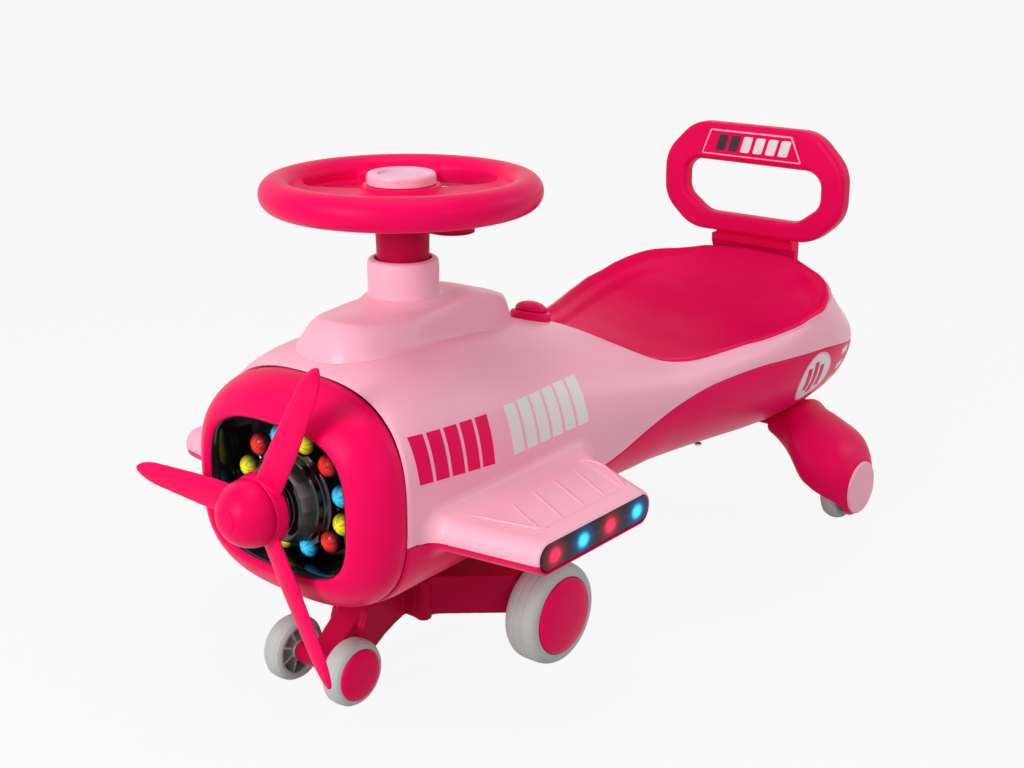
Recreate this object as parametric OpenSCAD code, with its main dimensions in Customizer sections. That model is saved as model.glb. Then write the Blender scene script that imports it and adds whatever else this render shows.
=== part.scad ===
// Ride-on swing car shaped like a small propeller aeroplane.
// Millimetres, +Z up, the nose points along -Y, the floor is Z = 0.

/* [Part to draw] */
// Name of the piece to draw, or all

/* [Body] */
// Length of the body from the nose seam to the tail, mm
body_length = 772; // [640:1:930]
// Full width of the body beside the seat, mm
body_width = 304; // [250:1:366]
// Height of the body from the belly to the top, mm
body_height = 206; // [170:1:250]
// Height of the belly above the floor, mm
belly_clearance = 94; // [92:1:120]
// Wall thickness of the moulded shells, mm
wall = 3; // [2.4:0.1:4]
// Gap left along the seams between shells, mm
seam_gap = 0.35; // [0.3:0.05:0.6]

/* [Steering] */
// Outside diameter of the steering wheel, mm
steer_d = 241; // [200:1:290]
// Thickness of the steering wheel rim, mm
rim_d = 28.8; // [22:0.2:34]
// Height of the steering wheel rim above the body top, mm
steer_rise = 124; // [118:1:150]
// Diameter of the steel steering shaft, mm
shaft_d = 16; // [12:0.5:18]
// Running clearance round turning shafts, mm on the radius
run_gap = 0.08; // [0.02:0.01:0.1]
// Clearance round fixed inserts, mm on the radius
fit_gap = 0.3; // [0.2:0.05:0.35]

/* [Wheels] */
// Diameter of the big front wheels, mm
big_d = 94; // [78:1:110]
// Width of the big front tyres, mm
big_w = 34; // [28:1:38]
// Distance between the big wheel centres, mm
big_track = 230; // [214:1:270]
// Diameter of the small nose wheels, mm
small_d = 59; // [50:1:70]
// Diameter of the rear wheels, mm
rear_d = 74; // [62:1:84]
// Width of the rear tyres, mm
rear_w = 18; // [15:1:22]
// Diameter of the steel wheel axles, mm
axle_d = 8; // [7:0.5:10]

/* [Propeller] */
// Distance from the propeller centre to a blade tip, mm
blade_reach = 155.5; // [130:0.5:166]
// Widest part of a blade, mm
blade_chord = 26.5; // [21:0.5:30]
// Diameter of the spinner, mm
spinner_d = 63; // [53:1:75]

/* [Wings] */
// Distance from the centre line to the wing tip, mm
wing_reach = 213; // [190:1:255]
// Thickness of the wing at the tip, mm
wing_t = 28; // [24:1:32]

/* [Seat and backrest] */
// Depth of the seat bowl below its first height, mm
seat_dip = 0; // [-8:1:8]
// Thickness of the seat skin, mm
pan_t = 3; // [2:0.5:4]
// Outside width of the backrest loop, mm
loop_w = 232; // [193:1:278]
// Outside height of the backrest loop, mm
loop_h = 124; // [104:1:148]
// Depth of the backrest loop from front to back, mm
loop_t = 21; // [17:1:25]

/* [Hidden] */
hot_pink = [0.94, 0.08, 0.36];
crimson = [0.74, 0.06, 0.26];
pale_pink = [0.96, 0.69, 0.77];
tyre_grey = [0.74, 0.76, 0.75];
black_gloss = [0.04, 0.04, 0.05];
steel = [0.7, 0.71, 0.73];
lens_dark = [0.07, 0.05, 0.09];
lamp_red = [0.95, 0.1, 0.15];
lamp_blue = [0.1, 0.6, 0.95];
lamp_yellow = [0.95, 0.88, 0.1];
label_pink = [0.98, 0.76, 0.82];
kx = body_width / 304;
ky = body_length / 772;
kz = body_height / 206;
// spinner tip and tail end, and the shift that centres the whole length
nose_y = -95;
shift_y = -(nose_y + body_length) / 2;

// body sections: along, half width, widest level, top, bottom, upper and lower squareness
rows = [
    [0, 112, 192, 293, 95, 2.8, 2.8],
    [14, 112.4, 191.5, 300, 94.3, 2.8, 2.8],
    [34, 112.8, 191, 305, 94, 2.8, 2.7],
    [60, 113, 190, 307.5, 94, 2.75, 2.6],
    [100, 112.6, 188, 307, 94.6, 2.65, 2.55],
    [140, 112, 186, 304, 96, 2.5, 2.5],
    [220, 110, 184, 290, 101, 2.35, 2.4],
    [300, 112, 188, 274.5, 106, 2.3, 2.3],
    [340, 115, 192, 263, 107, 2.35, 2.3],
    [380, 120, 196, 251, 107, 2.4, 2.2],
    [420, 127, 200, 247, 106, 2.5, 2.2],
    [460, 134, 205, 246.5, 104, 2.6, 2.2],
    [500, 141, 207, 251, 102, 2.75, 2.2],
    [540, 148, 209, 260, 100, 2.9, 2.2],
    [580, 151.5, 211, 274, 99, 3.0, 2.2],
    [615, 152, 212, 280, 100, 2.9, 2.2],
    [650, 148, 211, 279, 102, 2.75, 2.2],
    [690, 136, 205, 275, 106, 2.0, 2.2],
    [725, 109, 197, 249, 117, 1.85, 2.2],
    [755, 70, 191, 220, 141, 1.9, 2.2],
    [768, 32, 190, 204, 167, 2.0, 2.1],
    [772, 3, 189, 192, 186, 2.0, 2.0]
];
// seam between the shells: along, height
seams = [[0, 165], [30, 165], [120, 160], [224, 157], [262, 157], [290, 163], [330, 178],
    [380, 194], [430, 204], [500, 208], [600, 205], [700, 192], [772, 187]];
// seat outline: along, half width
rims = [[0, 42], [180, 42], [240, 34], [285, 12], [300, 9], [306, 20], [315, 42], [327, 62],
    [347, 81], [370, 95], [395, 105], [420, 112], [450, 118], [480, 124], [500, 130], [540, 140],
    [570, 145], [600, 146], [625, 140], [645, 128], [662, 112], [680, 90], [692, 69], [698, 53],
    [725, 44], [755, 24], [772, 1]];
// seat centre line: along, height
dips = [[300, 273.5], [320, 263.5], [345, 251], [370, 240], [400, 228], [440, 215], [500, 205],
    [560, 203], [610, 209], [650, 226], [675, 246], [690, 264], [698, 274]];
seat_a = 300;
seat_b = 698;
// stations along the shells
body_y = [0, 5, 14, 28, 50, 72, 92, 117, 142, 165, 190, 215, 240, 265, 285, seat_a - 0.5, seat_a,
    306, 315, 328, 347, 370, 395, 420, 450, 480, 510, 540, 570, 600, 625, 645, 662, 680, 690,
    seat_b, seat_b + 0.5, 712, 728, 744, 757, 766, 772];

// smooth curve through the rows of a table
function rise(t, k, i) = (t[i + 1][k] - t[i][k]) / (t[i + 1][0] - t[i][0]);
function lean(t, k, i) = i == 0 ? rise(t, k, 0) : i == len(t) - 1 ? rise(t, k, i - 1)
    : let (a = rise(t, k, i - 1), b = rise(t, k, i)) a * b <= 0 ? 0 : 2 * a * b / (a + b);
function spot(t, y) = max([for (i = [0:len(t) - 2]) if (i == 0 || t[i][0] <= y) i]);
function curve(t, k, yy) = let (y = min(max(yy, t[0][0]), t[len(t) - 1][0]), i = spot(t, y),
    h = t[i + 1][0] - t[i][0], u = (y - t[i][0]) / h, a = t[i][k], b = t[i + 1][k],
    m = lean(t, k, i) * h, n = lean(t, k, i + 1) * h)
    a * (1 + u * u * (2 * u - 3)) + m * u * (1 - u) * (1 - u) + b * u * u * (3 - 2 * u)
    + n * u * u * (u - 1);
function section(y, t = 0) = [curve(rows, 1, y) - t, curve(rows, 2, y), curve(rows, 3, y) - t,
    curve(rows, 4, y) + t, curve(rows, 5, y), curve(rows, 6, y)];
// point of a section at an angle, and height of its upper side at a distance from the middle
function signed(v, p) = v < 0 ? -pow(-v, p) : pow(v, p);
function at_angle(s, a) = let (n = sin(a) >= 0 ? s[4] : s[5])
    [s[0] * signed(cos(a), 2 / n),
    s[1] + (sin(a) >= 0 ? s[2] - s[1] : s[1] - s[3]) * signed(sin(a), 2 / n)];
function top_at(s, x) = s[1] + (s[2] - s[1]) * pow(1 - pow(min(abs(x) / s[0], 1), s[4]), 1 / s[4]);
function angle_of_x(s, x) = acos(pow(min(x / s[0], 1), s[4] / 2));
function angle_of_z(s, z) = z >= s[1] ? asin(pow(min((z - s[1]) / (s[2] - s[1]), 0.98), s[4] / 2))
    : -asin(pow(min((s[1] - z) / (s[1] - s[3]), 0.98), s[5] / 2));
// side of a section at a height
function side_at(s, z) = at_angle(s, angle_of_z(s, z))[0];
function fy(y) = y > 0 ? y * ky : y;
function fz(z) = belly_clearance + (z - 94) * kz;
function placed(p, y) = [p[0] * kx, fy(y) + shift_y, fz(p[1])];
function lerp(a, b, u) = a + (b - a) * u;
function mirrored(p) = [for (i = [len(p) - 1:-1:0]) [-p[i][0], p[i][1]]];

// seat surface height, for a distance from the middle
function in_seat(y) = y >= seat_a && y <= seat_b;
function seat_z(y, x) = let (r = curve(rims, 1, y), e = top_at(section(y), r),
    c = min(curve(dips, 1, y) + (y > 330 && y < 680 ? seat_dip : 0), e + 12))
    c + (e - c) * pow(min(abs(x) / r, 1), 2.3);
ledge = pan_t + seam_gap + 0.45;
function shelf_z(y, x) = in_seat(y) ? seat_z(y, x) - ledge / kz : top_at(section(y), x);

// how far the shoulders of the tail are drawn in: along, amount
tucks = [[560, 0], [600, 2], [625, 4], [650, 7], [675, 11], [700, 13], [725, 11], [755, 4], [772, 0]];
function tucked(p, y, u) = [p[0] - curve(tucks, 1, y) * sin(180 * pow(u, 1.2)), p[1]];
// half of the upper shell section, from the seam up to the middle
side_n = 6;
top_n = 6;
function near_seat(y) = y >= seat_a - 0.5 && y <= seat_b + 0.5;
function upper_half(y, yi, t) = let (s = section(yi, t), a0 = angle_of_z(s, curve(seams, 1, y)),
    r = min(curve(rims, 1, y), 0.75 * s[0] + (in_seat(y) ? 60 : 0)), low = t > 0 ? near_seat(y) : in_seat(y),
    e = seat_z(y, r) - ledge / kz - t, rr = low && t > 0 ? min(r + t, side_at(s, e)) : r,
    a1 = angle_of_x(s, rr), f = 0.35)
    concat([for (i = [0:side_n]) tucked(at_angle(s, lerp(a0, a1, i / side_n)), y, i / side_n)],
    [for (i = [0:top_n]) let (x = (rr - f) * (1 - i / top_n))
    [x, low ? seat_z(y, min(x, r)) - ledge / kz - t : top_at(s, x)]]);
function upper_row(y, yi, t, yo) = let (h = upper_half(y, yi, t), m = mirrored(h))
    [for (p = concat(h, [for (i = [1:len(m) - 1]) m[i]])) placed(p, yo)];
// half of the lower shell section, from the seam down to the middle
low_n = 9;
function lower_half(y, yi, t) = let (s = section(yi, t),
    a0 = angle_of_z(s, curve(seams, 1, y) - seam_gap))
    [for (i = [0:low_n]) at_angle(s, lerp(a0, -90, i / low_n))];
function lower_row(y, yi, t, yo) = let (h = lower_half(y, yi, t), m = mirrored(h))
    [for (p = concat(h, [for (i = [1:len(m) - 1]) m[i]])) placed(p, yo)];
// inner faces draw back from the tail by the wall thickness
tail_in = 772 - 3.4;
function back_y(y) = y == seat_a || y == seat_a - 0.5 ? y - wall
    : y == seat_b || y == seat_b + 0.5 ? y + wall : min(y, tail_in);
function back_t(y) = y > 740 ? wall * max(0, (tail_in - y) / (tail_in - 740)) : wall;
function fore_y(y) = y > 700 ? min(772, y + 3.2 * min(1, (y - 700) / 40)) : y;

// closed skin between an outer and an inner grid, with one block of cells left open
function two(a, b, c, d) = [[a, b, c], [a, c, d]];
module skin(outer, inner, hole) {
    ni = len(outer);
    nj = len(outer[0]);
    base = ni * nj;
    function free(i, j) = i < 0 || j < 0 || i > ni - 2 || j > nj - 2
        || (i >= hole[0] && i < hole[1] && j >= hole[2] && j < hole[3]);
    function o(i, j) = i * nj + j;
    cells = [for (i = [0:ni - 2]) for (j = [0:nj - 2]) if (!free(i, j)) [i, j]];
    faces = concat(
        [for (c = cells) let (i = c[0], j = c[1]) each two(o(i, j), o(i + 1, j), o(i + 1, j + 1),
        o(i, j + 1))],
        [for (c = cells) let (i = c[0], j = c[1]) each two(base + o(i, j), base + o(i, j + 1),
        base + o(i + 1, j + 1), base + o(i + 1, j))],
        [for (c = cells) let (i = c[0], j = c[1]) if (free(i - 1, j))
        each two(o(i, j), o(i, j + 1), base + o(i, j + 1), base + o(i, j))],
        [for (c = cells) let (i = c[0], j = c[1]) if (free(i + 1, j))
        each two(o(i + 1, j + 1), o(i + 1, j), base + o(i + 1, j), base + o(i + 1, j + 1))],
        [for (c = cells) let (i = c[0], j = c[1]) if (free(i, j - 1))
        each two(o(i + 1, j), o(i, j), base + o(i, j), base + o(i + 1, j))],
        [for (c = cells) let (i = c[0], j = c[1]) if (free(i, j + 1))
        each two(o(i, j + 1), o(i + 1, j + 1), base + o(i + 1, j + 1), base + o(i, j + 1))]);
    polyhedron(points = concat([for (r = outer) each r], [for (r = inner) each r]),
        faces = faces, convexity = 8);
}
// solid with rings of points: joined end to end, or capped
module rings(p, joined) {
    ni = len(p);
    nj = len(p[0]);
    last = joined ? ni - 1 : ni - 2;
    function o(i, j) = (i % ni) * nj + (j % nj);
    polyhedron(points = [for (r = p) each r], faces = concat(
        [for (i = [0:last]) for (j = [0:nj - 1]) each two(o(i, j), o(i + 1, j), o(i + 1, j + 1),
        o(i, j + 1))],
        joined ? [] : [[for (j = [0:nj - 1]) j], [for (j = [nj - 1:-1:0]) (ni - 1) * nj + j]]),
        convexity = 8);
}
module shifted() {
    translate([0, shift_y, 0]) children();
}

// stations and columns of the column opening
hole_a = 6;
hole_b = 8;
module upper_shell() {
    nj = 2 * (side_n + top_n + 1) + 1;
    mid = (nj - 1) / 2;
    color(pale_pink) skin([for (y = body_y) upper_row(y, fore_y(y), back_t(y), back_y(y))],
        [for (y = body_y) upper_row(y, y, 0, y)], [hole_a, hole_b, mid - 4, mid + 4]);
}
module lower_shell() {
    nj = 2 * low_n + 1;
    mid = (nj - 1) / 2;
    color(hot_pink) skin([for (y = body_y) lower_row(y, y, 0, y)],
        [for (y = body_y) lower_row(y, fore_y(y), back_t(y), min(y, tail_in))],
        [hole_a, hole_b, mid - 1, mid + 1]);
}
// rolled rim of the seat: along, height
rolls = [[300, 0], [360, 0.5], [430, 2.5], [520, 3.5], [600, 5], [660, 6.5], [698, 6]];
function roll_z(y, x) = let (d = min(curve(rims, 1, y) - 0.8 - abs(x), seat_b - 0.8 - y))
    d > 11 ? 0 : curve(rolls, 1, y) * pow(sin(180 * (d + 3) / 14), 2);
module seat_pan() {
    n = 16;
    ys = concat([seat_a + 0.8], [for (y = body_y) if (y > seat_a && y < seat_b) y], [seat_b - 0.8]);
    function across(r) = let (w = max(r - 11, r * 0.4)) concat([r, r - min(4, r * 0.3)],
        [for (i = [0:n - 4]) w * (1 - 2 * i / (n - 4))], [min(4, r * 0.3) - r, -r]);
    function line(y, d) = [for (x = across(curve(rims, 1, y) - 0.8))
        placed([x, seat_z(y, x) + (d > 0 ? -d : roll_z(y, x)) / kz], y)];
    color(hot_pink) skin([for (y = ys) line(y, pan_t)], [for (y = ys) line(y, 0)], [0, 0, 0, 0]);
}

// steering axis, levels of the column, and the opening for it
axis_y = 117 * ky;
top_z = fz(300);
boss_z = top_z + 34;
collar_z = boss_z + 33;
steer_z = top_z + steer_rise;
shaft_r = shaft_d / 2;
bore_r = shaft_r + run_gap;
collar_r = 30.8;
cover_r = 24.6;
module on_axis() {
    translate([0, axis_y + shift_y, 0]) children();
}
// raised cover with the collar: rings from the skirt up, over and down the bore
// rows, along from the axis: half width of the skirt, half width and height of the deck
cover_rows = [[-108, 58, 40, -5], [-87, 57.5, 40, -4.5], [-57, 54, 38.5, -3.2], [-34, 51, 38, -1.2], [-10, 46,
    38, 0],
    [10, 44, 38, 0], [50, 40, 36.5, 0], [73, 39, 35.5, -4.5], [98, 38, 34.5, -13], [119, 37, 33.5, -19.5],
    [141, 35, 32, -30]];
function oval(a, col, fore, aft, p) = let (y = (sin(a) < 0 ? fore : aft) * signed(sin(a), 2 / p))
    [curve(cover_rows, col, y) * kx * signed(cos(a), 2 / p), y];
function skirt(a) = oval(a, 1, 108, 135.5, 2.6);
function deck(a) = oval(a, 2, 87, 119, 2.6);
function deck_z(q) = boss_z + curve(cover_rows, 3, q[1]) - 6.5 * pow(q[0] / kx / 38, 2);
function spun(a, r) = [r * cos(a), r * sin(a)];
function on_top(q) = fz(top_at(section((q[1] + axis_y) / ky), q[0] / kx)) + seam_gap;
module column_cover() {
    n = 40;
    w = wall;
    function at(q, z) = [q[0], q[1], z];
    function side(b, d, u, v) = at(lerp(b, d, u), lerp(on_top(b), deck_z(d), v));
    function over(d, a, u) = let (q = lerp(d * 0.95, spun(a, collar_r + 2.4), u)) at(q, deck_z(q));
    function ring_at(a, k) = let (b = skirt(a), d = deck(a), bi = b * (1 - w / norm(b)),
        di = d * (1 - w / norm(d)))
        k == 0 ? side(b, d, 0, 0) : k == 1 ? side(b, d, 0.14, 0.2) : k == 2 ? side(b, d, 0.35, 0.47)
        : k == 3 ? side(b, d, 0.6, 0.75) : k == 4 ? side(b, d, 0.88, 0.955)
        : k == 5 ? at(d * 0.995, deck_z(d) - 0.5) : k < 9 ? over(d, a, (k - 6) / 3)
        : k == 9 ? at(spun(a, collar_r + 2.4), boss_z + 0.5) : k == 10 ? at(spun(a, collar_r + 0.7),
            boss_z + 1.6)
        : k == 11 ? at(spun(a, collar_r), boss_z + 3.6) : k == 12 ? at(spun(a, collar_r), collar_z - 4)
        : k == 13 ? at(spun(a, collar_r - 1.2), collar_z - 1.2)
        : k == 14 ? at(spun(a, collar_r - 4), collar_z) : k == 15 ? at(spun(a, cover_r), collar_z - 0.5)
        : k == 16 ? at(spun(a, cover_r), boss_z - 12) : k == 17 ? at(spun(a, cover_r + w), boss_z - 12)
        : k == 18 ? at(spun(a, cover_r + w), boss_z - w) : k == 19 ? at(di * 0.95, deck_z(di) - w)
        : k == 20 ? at(lerp(bi, di, 0.7), lerp(on_top(bi), deck_z(di) - w, 0.7)) : at(bi, on_top(bi));
    color(pale_pink) on_axis() rings([for (i = [0:n - 1]) [for (k = [0:21]) ring_at(-360 * i / n, k)]], true);
}

// nose ring round the engine: outer face, lip, and the wall behind it
// rows: along, half width, top, bottom, squareness
cowl_rows = [[-0.4, 110.5, 291.5, 96.5, 2.8], [-9, 111, 291, 96.3, 2.8], [-19, 109, 287, 99.5, 2.8],
    [-29, 103.5, 280, 106, 2.9], [-36, 96.5, 271.5, 114, 3.05], [-40.5, 89.5, 264.5, 122, 3.15],
    [-41.5, 84.8, 260, 126.5, 3.25], [-39, 80.6, 257, 130, 3.35], [-32, 78.5, 255.5, 131.8, 3.5],
    [-8, 78, 255, 132.3, 3.5], [-8, 81, 258, 129.3, 3.5], [-30, 82, 259, 128, 3.5],
    [-36, 87, 262.5, 125, 3.3], [-32, 94, 269, 117, 3.05], [-26, 100.5, 277, 109, 2.9],
    [-17, 105.5, 283.5, 103.5, 2.8], [-8, 107.5, 287.5, 100, 2.8], [-0.4, 107.3, 288, 99.8, 2.8]];
function cowl_point(c, a) = let (m = 192, n = c[4] - (sin(a) > 0 ? 0.2 * sin(a) : 0),
    x = c[1] * signed(cos(a), 2 / n), z = m + (sin(a) >= 0 ? c[2] - m : m - c[3]) * signed(sin(a), 2 / n))
    [x * kx, c[0] + shift_y, fz(z)];
module nose_cowl() {
    n = 40;
    color(hot_pink) rings([for (i = [0:n - 1]) [for (c = cowl_rows) cowl_point(c, -360 * i / n)]], true);
}

// engine inside the nose
prop_z = fz(188.6);
prop_shaft_d = 8;
module on_nose() {
    translate([0, shift_y, prop_z]) rotate([90, 0, 0]) children();
}
module firewall() {
    // plate behind the engine, with the tube that carries the propeller shaft
    color(black_gloss) difference() {
        union() {
            translate([0, shift_y + 3.5, 0]) rotate([90, 0, 0]) linear_extrude(3.5)
                polygon([for (i = [0:47]) let (p = cowl_point([0, 103, 283, 105.5, 2.9], 7.5 * i)) [p[0],
                    p[2]]]);
            on_nose() translate([0, 0, -24]) cylinder(h = 30, r = 12, $fn = 48);
        }
        on_nose() translate([0, 0, -30]) cylinder(h = 60, r = prop_shaft_d / 2 + run_gap, $fn = 48);
    }
}
// rows of the liner: along, half width, top, bottom, squareness
liner_rows = [[-0.3, 77.6, 254.6, 132.8, 3.5], [-31, 78, 255, 132.4, 3.5], [-37, 79.3, 256, 131.4, 3.45],
    [-38, 78.6, 255.3, 132.1, 3.45], [-36.6, 77.2, 254.2, 133.4, 3.45], [-30, 75.8, 252.8, 134.6, 3.5],
    [-0.3, 75.3, 252.3, 135.1, 3.5]];
module engine_liner() {
    // black lining of the engine bay, standing on the plate
    color(black_gloss) rings([for (i = [0:39]) [for (c = liner_rows) cowl_point(c, -9 * i)]], true);
}
// twelve cylinder heads on an oval ring round the hub
pod_n = 12;
function pod_at(i) = let (a = 15 + 30 * i) [57.5 * min(kx, 1) * cos(a), min(kz, 1) * (sin(a) > 0 ? 51 : 42) *
    sin(a)];
pod_r = 10;
pod_top = 17;
module engine_core() {
    // stepped hub housing, turned, with a hollow for each head
    color(black_gloss) on_nose() difference() {
        rotate_extrude($fn = 64) polygon([[12.4, 0.4], [49, 0.4], [49, 4.5], [46, 6.5], [45.5, 20], [44,
            21.5],
            [39.5, 22.3], [38.5, 27.5], [37, 28.5], [31.5, 41], [30, 42], [26, 43], [25.5, 47.5], [12.4,
                47.5]]);
        for (i = [0:pod_n - 1]) translate([pod_at(i)[0], pod_at(i)[1], -1]) cylinder(h = 30,
            r = pod_r + 0.4, $fn = 32);
    }
}
module engine_cylinders() {
    color(black_gloss) on_nose() for (i = [0:pod_n - 1]) translate([pod_at(i)[0], pod_at(i)[1], 0.4])
        rotate_extrude($fn = 32) polygon([[0, 0], [pod_r, 0], [pod_r, 5], [pod_r - 1, 5.8], [pod_r - 1, 7.2],
            [pod_r, 8], [pod_r, 10.2], [pod_r - 1, 11], [pod_r - 1, 12.4], [pod_r, 13.2], [pod_r,
                pod_top - 1.4],
            [pod_r - 1, pod_top + 0.6], [pod_r - 1.6, pod_top], [pod_r - 1.6, pod_top - 2], [0,
                pod_top - 2]]);
}
module lens(i) {
    // domed lamp lens set in a cylinder head
    r = pod_r - 1.9;
    on_nose() translate([pod_at(i)[0], pod_at(i)[1], pod_top - 1.3]) rotate_extrude($fn = 32)
        polygon([[0, 0], [r, 0], [r, 2.2], [r * 0.84, 4.6], [r * 0.58, 6.4], [r * 0.28, 7.5], [0, 7.8]]);
}
module engine_lenses_yellow() {
    color(lamp_yellow) for (i = [2, 5, 8, 11]) lens(i);
}
module engine_lenses_red() {
    color(lamp_red) for (i = [1, 4, 7, 10]) lens(i);
}
module engine_lenses_blue() {
    color(lamp_blue) for (i = [0, 3, 6, 9]) lens(i);
}

// propeller: a hub drum with three blades, a domed spinner in front, and its shaft
drum_a = 52;
drum_b = 64;
blade_u = [0, 0.12, 0.25, 0.4, 0.55, 0.68, 0.78, 0.86, 0.925, 0.97, 0.994, 1];
blade_n = len(blade_u) - 1;
function blade_ring(k) = let (u = blade_u[k], r = lerp(spinner_d / 2 - 8, blade_reach, u),
    c = blade_chord * (1 - 0.5 * max(0, u - 0.35)) * sqrt(max(0.012, 1 - pow(max(0, u - 0.78) / 0.22,
        2))) / 2,
    t = lerp(4.4, 1.8, u) * (k == blade_n ? 0.45 : 1), b = lerp(11, 5, u))
    [for (j = [0:9]) let (a = 36 * j, x = c * cos(a), y = t * sin(a))
    [r, x * cos(b) - y * sin(b), lerp(57.6, 59.6, u) + x * sin(b) + y * cos(b)]];
module blades() {
    for (i = [0:2]) rotate([0, 0, 60 + 120 * i])
        rings([for (k = [0:blade_n]) blade_ring(k)], false);
}
module propeller() {
    r = spinner_d / 2;
    color(hot_pink) on_nose() difference() {
        union() {
            rotate_extrude($fn = 64) polygon([[0, drum_a], [r - 1.2, drum_a], [r, drum_a + 1.4], [r - 2.6,
                drum_b],
                [0, drum_b]]);
            blades();
        }
        translate([0, 0, drum_a - 1]) cylinder(h = 40, r = prop_shaft_d / 2 + 0.1, $fn = 48);
    }
}
module spinner() {
    r = spinner_d / 2 - 2.8;
    tip = -nose_y;
    long = tip - drum_b - 0.3;
    dome = [for (i = [0:9]) let (a = 67 * i / 9) [r * cos(a), drum_b + 1.6 + (long - 1.6) * sin(a)]];
    color(hot_pink) on_nose() difference() {
        rotate_extrude($fn = 64) polygon(concat([[0, drum_b + 0.3], [r - 1.2, drum_b + 0.3], [r - 1.2,
            drum_b + 1.6]],
            dome, [[r * 0.37, tip - 2.3], [r * 0.36, tip - 1.5], [r * 0.28, tip - 0.8], [r * 0.15,
                tip - 0.1], [0, tip]]));
        translate([0, 0, drum_b - 1]) cylinder(h = 9, r = prop_shaft_d / 2 + 0.1, $fn = 48);
    }
}
module propeller_shaft() {
    // pin with a clip ring behind the plate tube
    color(steel) on_nose() union() {
        translate([0, 0, -30]) cylinder(h = drum_b + 7 + 30, r = prop_shaft_d / 2, $fn = 48);
        translate([0, 0, -28]) cylinder(h = 3.2, r = 8, $fn = 32);
    }
}

// wings: upper and lower skins with rounded edges, open at the tip for the light strip
wing_fore = [24, 38];
wing_aft = [236, 190];
wing_mid = fz(169);
// the wing rises slightly towards its trailing edge
wing_tilt = 1.2;
wing_y0 = 50;
wing_cut = asin(-4 / 14);
function body_x(y, z) = kx * side_at(section(y / ky), 94 + (z - belly_clearance) / kz);
function wing_point(u, r, a, aft) = let (e = aft ? wing_aft : wing_fore,
    y = fy(lerp(e[0], e[1], u)) + (aft ? -1 : 1) * wing_t / 2 + r * cos(a),
    z = wing_mid + tan(wing_tilt) * (y - wing_y0) + (r < wing_t / 2 ? r : deeper(a) * r) * sin(a))
    [lerp(body_x(y, z) + seam_gap + 0.6, wing_reach, u), y + shift_y, z];
// the outside of the lower skin hangs a little deeper than a half round
function deeper(a) = sin(a) < -0.3 ? 1 + 0.1 * min(1, (-0.3 - sin(a)) / 0.3) : 1;
function wing_line(u, t, a0, a1) = let (r = wing_t / 2 - t)
    concat([for (i = [0:5]) wing_point(u, r, lerp(180 - a0, a1 > 0 ? a1 : 360 + a1, i / 5), false)],
    [for (i = [0:5]) wing_point(u, r, lerp(a1, a0, i / 5), true)]);
module wing_skin(a0, a1) {
    us = [0, 0.34, 0.67, 1];
    if (a1 > 0) skin([for (u = us) wing_line(u, 2.6, a0, a1)], [for (u = us) wing_line(u, 0, a0, a1)],
        [0, 0, 0, 0]);
    else skin([for (u = us) wing_line(u, 0, a0, a1)], [for (u = us) wing_line(u, 2.6, a0, a1)],
        [0, 0, 0, 0]);
}
module wing_top_left() {
    color(pale_pink) wing_skin(wing_cut, 90);
}
module wing_top_right() {
    color(pale_pink) mirror([1, 0, 0]) wing_skin(wing_cut, 90);
}
module wing_base_left() {
    color(hot_pink) wing_skin(wing_cut - 2, -90);
}
module wing_base_right() {
    color(hot_pink) mirror([1, 0, 0]) wing_skin(wing_cut - 2, -90);
}
// middle of the light strip, at a share of the way along it
strip_a = fy(wing_fore[1]) + wing_t / 2;
strip_b = fy(wing_aft[1]) - wing_t / 2;
module on_strip(x, u) {
    translate([x, strip_a + shift_y, wing_mid + tan(wing_tilt) * (strip_a - wing_y0)])
        rotate([wing_tilt, 0, 0]) translate([0, (strip_b - strip_a) * u, 0]) children();
}
module strip(r, x, t) {
    // rounded bar shape of the light strip, at a distance from the centre line
    on_strip(x, 0) rotate([90, 0, 90]) {
        cylinder(h = t, r = r, $fn = 48);
        translate([strip_b - strip_a, 0, 0]) cylinder(h = t, r = r, $fn = 48);
        translate([0, -r, 0]) cube([strip_b - strip_a, 2 * r, t]);
    }
}
strip_r = wing_t / 2 - 2.6 - 0.3;
module wing_lens() {
    union() {
        strip(strip_r, wing_reach - 4, 3.4);
        strip(strip_r - 1.6, wing_reach - 0.7, 1.1);
    }
}
module wing_lens_left() {
    color(lens_dark) wing_lens();
}
module wing_lens_right() {
    color(lens_dark) mirror([1, 0, 0]) wing_lens();
}
module wing_lamp(k) {
    for (s = [0, 1]) mirror([s, 0, 0])
        on_strip(wing_reach - 4.3, -0.01 + 0.34 * k) rotate([0, -90, 0])
            rotate_extrude($fn = 32) polygon([[0, 0], [4.2, 0], [5.6, 1.4], [6, 3], [6, 7], [3, 7], [3, 9],
                [0, 9]]);
}
module wing_lamps_red() {
    color(lamp_red) for (k = [0, 2]) wing_lamp(k);
}
module wing_lamps_blue() {
    color(lamp_blue) for (k = [1, 3]) wing_lamp(k);
}

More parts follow.
